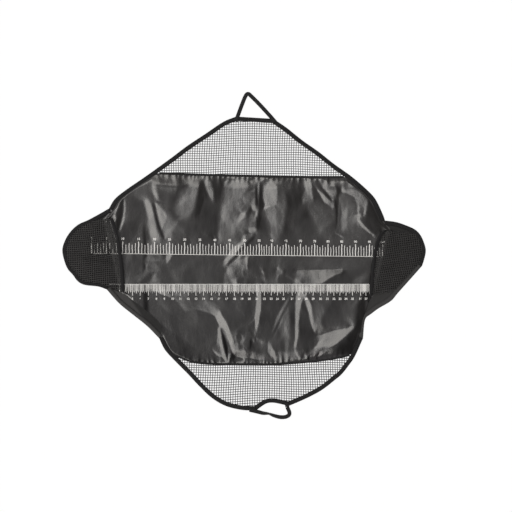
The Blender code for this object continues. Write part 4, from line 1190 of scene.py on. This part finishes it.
def make_pocket(side, mouth_shares, edge, held_shares, inward, turn, creases):
    """A pocket: its net over the dome, its hem along the mouth."""
    mouth, grid = pocket_shape(mouth_shares, edge, held_shares, inward)
    for depth, width, corners in creases:
        share = depth * near_line(grid, corners, width)
        share[0] = 0
        grid[..., 2] -= share * (grid[..., 2] - CLOTH_TOP)
    places = grid.reshape(-1, 3)
    low, high = places.min(0)[:2], places.max(0)[:2]
    tree = BVHTree.FromPolygons([tuple(place) for place in places],
                                [tuple(face) for face in grid_faces(*grid.shape[:2])])

    def keep(x, y):
        """The heights of the dome, and whether it is there at all."""
        heights = np.zeros(len(x))
        inside = np.zeros(len(x), bool)
        for i, (px, py) in enumerate(zip(x, y)):
            hit = tree.ray_cast(Vector((px, py, 1)), Vector((0, 0, -1)))[0]
            if hit:
                heights[i] = hit.z
                inside[i] = True
        return heights, inside

    lines = net_lines((low, high), POCKET_PITCH, 0.003, pocket_warp, 0.0, keep, turn)
    net = cords("pocket_net_cords_" + side, lines, POCKET_CORD_RADIUS, POCKET_CORD)
    dress(net, "centre", "pocket_net_" + side)
    size = (high - low) + (0.02, 0.03)
    float(grid_area(grid))
    make_hem(side, mouth, inward)


def make_hem(side, mouth, inward):
    """The tape folded over the pocket's mouth."""
    across = np.tile([-float(inward), 0.0, 0.0], (len(mouth), 1))
    runs = np.gradient(mouth, axis=0)
    runs /= np.linalg.norm(runs, axis=1)[:, None]
    ups = np.cross(runs, across)
    ups /= np.linalg.norm(ups, axis=1)[:, None]
    ups *= np.sign(ups[:, 2])[:, None]
    section = [(-0.0010, 0.0), (-0.0006, 0.0011), (0.0004, 0.0017), (0.0040, 0.0019), (0.0100, 0.0017),
               (0.0102, 0.0009), (0.0102, -0.0009), (0.0100, -0.0015), (0.0040, -0.0017),
               (0.0004, -0.0015), (-0.0006, -0.0010)]
    hem = sweep("pocket_hem_tape_" + side, mouth, across, ups, section, TAPE)
    dress(hem, "centre", "pocket_hem_" + side)


def make_backing(side, edge, inner_shares, top, material):
    """The plain cloth under a pocket, which shows as a flap below it."""
    ys = np.linspace(LOWER_FOLD_Y, top, 130)
    outer = edge_line(ys, shifted(edge, 0.0015))
    inner = edge_line(ys, at(inner_shares))
    x = outer[:, None] + (inner - outer)[:, None] * np.linspace(0, 1, 50)[None, :]
    if x[0, 0] > x[0, -1]:
        x = x[:, ::-1]
    points = np.stack([x, np.broadcast_to(ys[:, None], x.shape), np.full(x.shape, BACKING_TOP)], -1)
    piece = surface("backing_cloth_" + side, points, material, BACKING_THICKNESS)
    dress(piece, "centre", "pocket_backing_" + side)


# The coated cloth and the rulers printed on it.

def make_cloth():
    """The coated cloth in an upper and a lower half, which meet between the rulers."""
    u = np.linspace(0, 1, 386)[None, :]
    v = np.linspace(0, 1, 125)[:, None]
    halves = []
    for name, seam in (("cloth_upper", UPPER_SEAM), ("cloth_lower", LOWER_SEAM)):
        x = -0.45 + 0.9 * u
        for _ in range(30):
            y = HALVES_MEET_Y + (seam_line(x, seam) - HALVES_MEET_Y) * v
            left = edge_line(y, CLOTH_LEFT)
            x = left + (edge_line(y, CLOTH_RIGHT) - left) * u
        points = np.stack([x, y, CLOTH_TOP + relief_at(x, y)], -1)
        if seam is LOWER_SEAM:
            points = points[::-1]
        halves.append(surface(name, points, CLOTH, CLOTH_THICKNESS))
    return halves


def lay_on_cloth(points, lift=0.00012):
    """Places on the cloth, a little above it, from places in the plane."""
    z = CLOTH_TOP + relief_at(points[:, 0], points[:, 1]) + lift
    return np.column_stack([points, z])


def on_cloth(place):
    """Whether a place lies on the coated cloth, clear of its edge."""
    return edge_line(place[1], CLOTH_LEFT) + 0.003 < place[0] < edge_line(place[1], CLOTH_RIGHT) - 0.003


def wander(points):
    """The print drawn aside a little where the cloth is creased."""
    x, y = points.T
    aside = 0.0007 * np.sin(x * 91 + y * 160) * np.sin(x * 37 - y * 75 + 1.3)
    return np.column_stack([x + aside, y])


def print_marks(name, marks):
    """Printed lines as thin strips on the cloth; a mark is its two ends and its width."""
    points, faces, uvs = [], [], []
    base = 0
    for start, end, width in marks:
        run = end - start
        count = max(2, int(np.linalg.norm(run) / 0.0028) + 2)
        line = wander(start + run * np.linspace(0, 1, count)[:, None])
        side = np.array([-run[1], run[0]]) / np.linalg.norm(run) * width / 2
        both = np.stack([line - side, line + side], 1).reshape(-1, 2)
        points.append(lay_on_cloth(both))
        uvs.append(both)
        index = base + np.arange(count * 2).reshape(count, 2)
        faces += np.stack([index[:-1, 0], index[1:, 0], index[1:, 1], index[:-1, 1]], -1).tolist()
        base += count * 2
    return new_piece(name, np.vstack(points), faces, np.vstack(uvs), INK)


def print_numbers(name, numbers):
    """Printed numbers laid on the cloth; a number is its text, its place and its size."""
    points, faces, base = [], [], 0
    for text, place, size in numbers:
        curve = bpy.data.curves.new("number", "FONT")
        curve.body = text
        curve.size = size
        curve.align_x = "CENTER"
        curve.align_y = "CENTER"
        curve.offset = size * 0.034
        letters = bpy.data.objects.new("number", curve)
        bpy.context.scene.collection.objects.link(letters)
        bpy.context.view_layer.update()
        mesh = bpy.data.meshes.new_from_object(letters)
        bpy.data.objects.remove(letters)
        corners = np.zeros(len(mesh.vertices) * 3)
        mesh.vertices.foreach_get("co", corners)
        points.append(corners.reshape(-1, 3)[:, :2] + place)
        faces += [[base + corner for corner in polygon.vertices] for polygon in mesh.polygons]
        base += len(mesh.vertices)
    points = np.vstack(points)
    return new_piece(name, lay_on_cloth(points, 0.00025), faces, points, INK, False)


def centimetre_ruler():
    """The marks and numbers of the upper ruler: a bold tick and a number at every fifth."""
    marks, numbers = [], []
    for place in range(101):
        px = np.interp(place / 5, range(21), CENTIMETRE_TICKS)
        base = np.interp(px, CENTIMETRE_BEND, CENTIMETRE_BASE)
        shift = base - CENTIMETRE_BASE[0]
        kind = "bold" if place % 5 == 0 else "even" if place % 2 == 0 else "odd"
        top = CENTIMETRE_TOPS[kind] + shift
        marks.append((spot((px, base)), spot((px, top)), 0.0031 if kind == "bold" else 0.0020))
        if kind == "bold":
            numbers.append((str(place), spot((px, CENTIMETRE_NUMBERS + shift * 1.1)), 0.0105))
    for ends in zip(CENTIMETRE_TICKS, CENTIMETRE_TICKS[1:]):
        low, high = (spot((px, np.interp(px, CENTIMETRE_BEND, CENTIMETRE_BASE) + 0.3)) for px in ends)
        marks.append((low, high, 0.0016))
    return marks, numbers


def inch_ruler():
    """The marks and numbers of the lower ruler: a bold tick and a number at every eighth."""
    marks, numbers = [], []
    rng = np.random.default_rng(11)
    for place in range(37 * 8 + 5):
        px = np.interp(place / 8, range(39), INCH_TICKS)
        step = place % 8
        fine = 0.0015 * rng.uniform(0.4, 1.5)
        marks.append((spot((px, INCH_TOP)), spot((px, INCH_BOTTOMS[step])), 0.0019 if step == 0 else fine))
        if step == 0 and place > 0:
            numbers.append((str(place // 8), spot((px, INCH_NUMBERS)), 0.0100))
    for low, high in zip(INCH_TICKS, INCH_TICKS[1:-1] + (INCH_END,)):
        marks.append((spot((low, INCH_BASE)), spot((high, INCH_BASE)), 0.0014))
    return marks, numbers


def make_rulers():
    """The two printed rulers, as far as they lie on the cloth."""
    marks, numbers = (upper + lower for upper, lower in zip(centimetre_ruler(), inch_ruler()))
    marks = [mark for mark in marks if on_cloth(mark[0]) and on_cloth(mark[1])]
    numbers = [number for number in numbers if on_cloth(number[1])]
    return print_marks("ruler_marks", marks), print_numbers("ruler_numbers", numbers)


# Webbing.

def make_loop(name, node, body, shares, rolls=(0, 0), rises=(0.0, 0.0)):
    """A webbing strap swept along its path, with a roll and a rise at each of its points."""
    path = smooth(at(shares), 10)
    places = np.linspace(0, len(shares) - 1, len(path))
    roll = np.radians(np.interp(places, range(len(shares)), rolls))[:, None]
    rise = np.interp(places, range(len(shares)), rises)
    sides = sides_of(path)
    across = np.column_stack([sides * np.cos(roll), np.sin(roll)])
    ups = np.column_stack([-sides * np.sin(roll), np.cos(roll)])
    route = np.column_stack([path, WEBBING_BOTTOM + rise])
    section = np.array(WEBBING_SECTION_SHARES) * (LOOP_WIDTH / 2, WEBBING_THICKNESS)
    strap = sweep(name, route, across, ups, section, WEBBING)
    dress(strap, body, node)


# The sling, piece by piece.

cloth_upper, cloth_lower = make_cloth()
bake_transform(cloth_upper)
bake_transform(cloth_lower)
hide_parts("panel_centre", "panel_upper")
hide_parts("panel_lower")

for print_piece in make_rulers():
    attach(print_piece, "centre")

left_part = net_edge(UPPER_LEFT, UPPER_SEAM, 1)
right_part = net_edge(UPPER_RIGHT, UPPER_SEAM, 1)
seam_part = between(UPPER_SEAM, left_part[-1, 0], right_part[0, 0])
upper_outline = np.vstack([left_part, seam_part - (0, 0.001), right_part])
make_wing_net("wing_net_upper", upper_outline, box=((-0.34, 0.265), (0.38, 0.485)), warp=upper_warp,
              radius=0.0011, body="upper_wing", node="net_upper")

left_part = net_edge(LOWER_LEFT, LOWER_SEAM, -1)
right_part = net_edge(LOWER_RIGHT, LOWER_SEAM, -1)
seam_part = between(LOWER_SEAM, left_part[0, 0], right_part[-1, 0])
bottom_part = shifted(BOTTOM, NET_INSET)[3:-3]
lower_outline = np.vstack([left_part, bottom_part, right_part, seam_part[::-1] + (0, 0.001)])
make_wing_net("wing_net_lower", lower_outline, box=((-0.29, -0.535), (0.40, -0.300)), warp=lower_warp,
              radius=0.0012, body="lower_wing", node="net_lower")

make_pocket("left", LEFT_MOUTH_SHARES, LEFT_EDGE, held_shares=(0.226, -0.200), inward=1,
            turn=math.radians(4), creases=LEFT_POCKET_CREASES)
make_pocket("right", RIGHT_MOUTH_SHARES, RIGHT_EDGE, held_shares=(0.140, -0.222), inward=-1,
            turn=math.radians(10), creases=RIGHT_POCKET_CREASES)
make_backing("left", LEFT_EDGE, LEFT_BACKING_SHARES, LEFT_CORNER_Y + BACKING_OVERLAP, LEFT_BACKING)
make_backing("right", RIGHT_EDGE, RIGHT_BACKING_SHARES, RIGHT_CORNER_Y + BACKING_OVERLAP, SHADED_RIGHT_BACKING)

for name, path, bodies, nodes in (
        ("binding_upper_left", UPPER_LEFT, ("centre", "upper_wing"), ("edge_tape_upper_left",)),
        ("binding_upper_right", UPPER_RIGHT, ("centre", "upper_wing"), ("edge_tape_upper_right",)),
        ("binding_top", TOP, ("upper_wing",), ("edge_tape_top",)),
        ("binding_left_pocket", LEFT_POCKET, ("centre",), ("edge_tape_left",)),
        ("binding_left_flap", LEFT_FLAP, ("centre",), ()),
        ("binding_right_flap", RIGHT_FLAP, ("centre",), ()),
        ("binding_right_pocket", RIGHT_POCKET, ("centre",), ("edge_tape_right",)),
        ("binding_lower_left", LOWER_LEFT, ("lower_wing",), ("edge_tape_lower_left",)),
        ("binding_lower_right", LOWER_RIGHT, ("lower_wing",), ("edge_tape_lower_right",)),
        ("binding_bottom", BOTTOM, ("lower_wing",), ("edge_tape_bottom",))):
    tape = edge_tape(name, path, FLAP_HEM if "flap" in name else TAPE)
    thread_row = stitches(name + "_stitches", shifted(path, TAPE_WIDTH - 0.0028), TAPE_HEIGHT + 0.0001)
    for piece in (tape, thread_row):
        if len(bodies) == 2:
            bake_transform(piece)
        else:
            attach(piece, bodies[0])
    if nodes:
        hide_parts(*nodes)

for name, seam, body, node, left, right in (
        ("seam_binding_upper", UPPER_SEAM, "upper_wing", "seam_tape_upper", -0.3008, 0.3507),
        ("seam_binding_lower", LOWER_SEAM, "lower_wing", "seam_tape_lower", -0.2467, 0.3700)):
    path = resampled(between(seam, left, right), 0.004)
    sides, ups = flat(sides_of(path)), straight_up(len(path))
    tape = sweep(name, flat(path, SEAM_TAPE_BOTTOM), sides, ups, SEAM_TAPE_SECTION, TAPE)
    dress(tape, body, node)
    thread_row = stitches(name + "_stitches", path, SEAM_TAPE_BOTTOM + 0.0010)
    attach(thread_row, body)

make_loop("webbing_loop_top", "loop_top", "top_loop", TOP_LOOP_SHARES[1:-1], (0,) * 7,
          (0.0, 0.0, 0.0004, 0.0012, 0.0004, 0.0, 0.0))
make_loop("webbing_foot_top_left", "loop_top_foot_left", "upper_wing", TOP_LOOP_SHARES[:2])
make_loop("webbing_foot_top_right", "loop_top_foot_right", "upper_wing", TOP_LOOP_SHARES[-2:])
make_loop("webbing_loop_bottom", "loop_bottom", "bottom_loop", BOTTOM_LOOP_SHARES[1:-1],
          (0, 20, 60, 25, 0, 0, 0, 0), (0.0, 0.001, 0.003, 0.0015, 0.0, 0.0, 0.0, 0.0))
make_loop("webbing_foot_bottom_left", "loop_bottom_foot_left", "lower_wing", BOTTOM_LOOP_SHARES[:2])
make_loop("webbing_foot_bottom_right", "loop_bottom_foot_right", "lower_wing", BOTTOM_LOOP_SHARES[-2:])


# Floor, lights and camera.

def soft_box(name, turn, lean, length, width, radiance, colour):
    """An even rectangle of light, turned round the vertical, leant from it and far off."""
    light = bpy.data.lights.new(name, "AREA")
    light.shape = "RECTANGLE"
    light.size, light.size_y = length, width
    light.energy = radiance * math.pi * length * width
    light.color = colour
    lamp = bpy.data.objects.new(name, light)
    reach = LIGHT_FAR * math.sin(lean)
    lamp.location = (reach * math.cos(turn), reach * math.sin(turn), LIGHT_FAR * math.cos(lean))
    lamp.rotation_euler = (-lamp.location).to_track_quat("-Z", "Y").to_euler()
    bpy.context.scene.collection.objects.link(lamp)


def studio_walls():
    """The studio seen by the cloth: a dim ceiling, darker to the right, and pale walls."""
    world = bpy.data.worlds.new("studio")
    world.use_nodes = True
    walls = Maker(world.node_tree)
    x, y, height = walls.parts(walls.node("TexCoord"))
    right = x * math.cos(math.radians(5)) + y * math.sin(math.radians(5))
    ceiling = walls.rising(height, 0.62, 0.84)
    shade = walls.rising(right, 0.02, 0.27)
    background = world.node_tree.nodes["Background"]
    walls.feed(background.inputs["Strength"], 0.80 - ceiling * 0.215 - shade * 0.51)
    background.inputs["Color"].default_value = (1, 0.965, 0.965, 1)
    bpy.context.scene.world = world


def studio_floor():
    """A pale floor just under the sling, which glows a little to the camera."""
    bpy.ops.mesh.primitive_plane_add(size=80, location=(0, 0, -0.0006))
    floor = bpy.context.object
    floor.name = "floor"
    look = Look("pale floor", Roughness=0.9, Base_Color=(0.93, 0.93, 0.93, 1))
    seen = look.node("LightPath")
    glow = look.node("Emission", None, Color=(1, 1, 1, 1), Strength=1.02)
    blend = look.node("MixShader", None, seen * 0.92, Wire(look, look.shader.outputs[0]), glow)
    look.feed(look.nodes["Material Output"].inputs["Surface"], blend)
    floor.data.materials.append(look.material)


WARM = (1.0, 0.968, 0.915)
WHITE = (1, 1, 1)
for name, degrees in (("left", 177), ("back", 122), ("front", 231.5)):
    turn = math.radians(degrees)
    soft_box("light_" + name, turn, LIGHT_LEAN, 7.0, 5.2, 4.8, WARM)
    soft_box("light_" + name + "_core", turn, LIGHT_LEAN, 7.0, 2.2, 5.2, WARM)
    soft_box("light_" + name + "_inner", turn, math.radians(9.5), 4.4, 1.6, 2.2, WHITE)

studio_walls()
studio_floor()

camera_data = bpy.data.cameras.new("camera")
camera_data.lens = CAMERA_LENS
camera_data.clip_end = 100
camera_data.sensor_width = SENSOR_WIDTH
camera = bpy.data.objects.new("camera", camera_data)
camera.location = (*spot((PHOTO_HALF, PHOTO_HALF)), 0.003 + CAMERA_HEIGHT)
camera.rotation_euler = (0, 0, 0)
bpy.context.scene.collection.objects.link(camera)
bpy.context.scene.camera = camera

bpy.context.scene.view_settings.view_transform = "Standard"

bpy.context.view_layer.update()
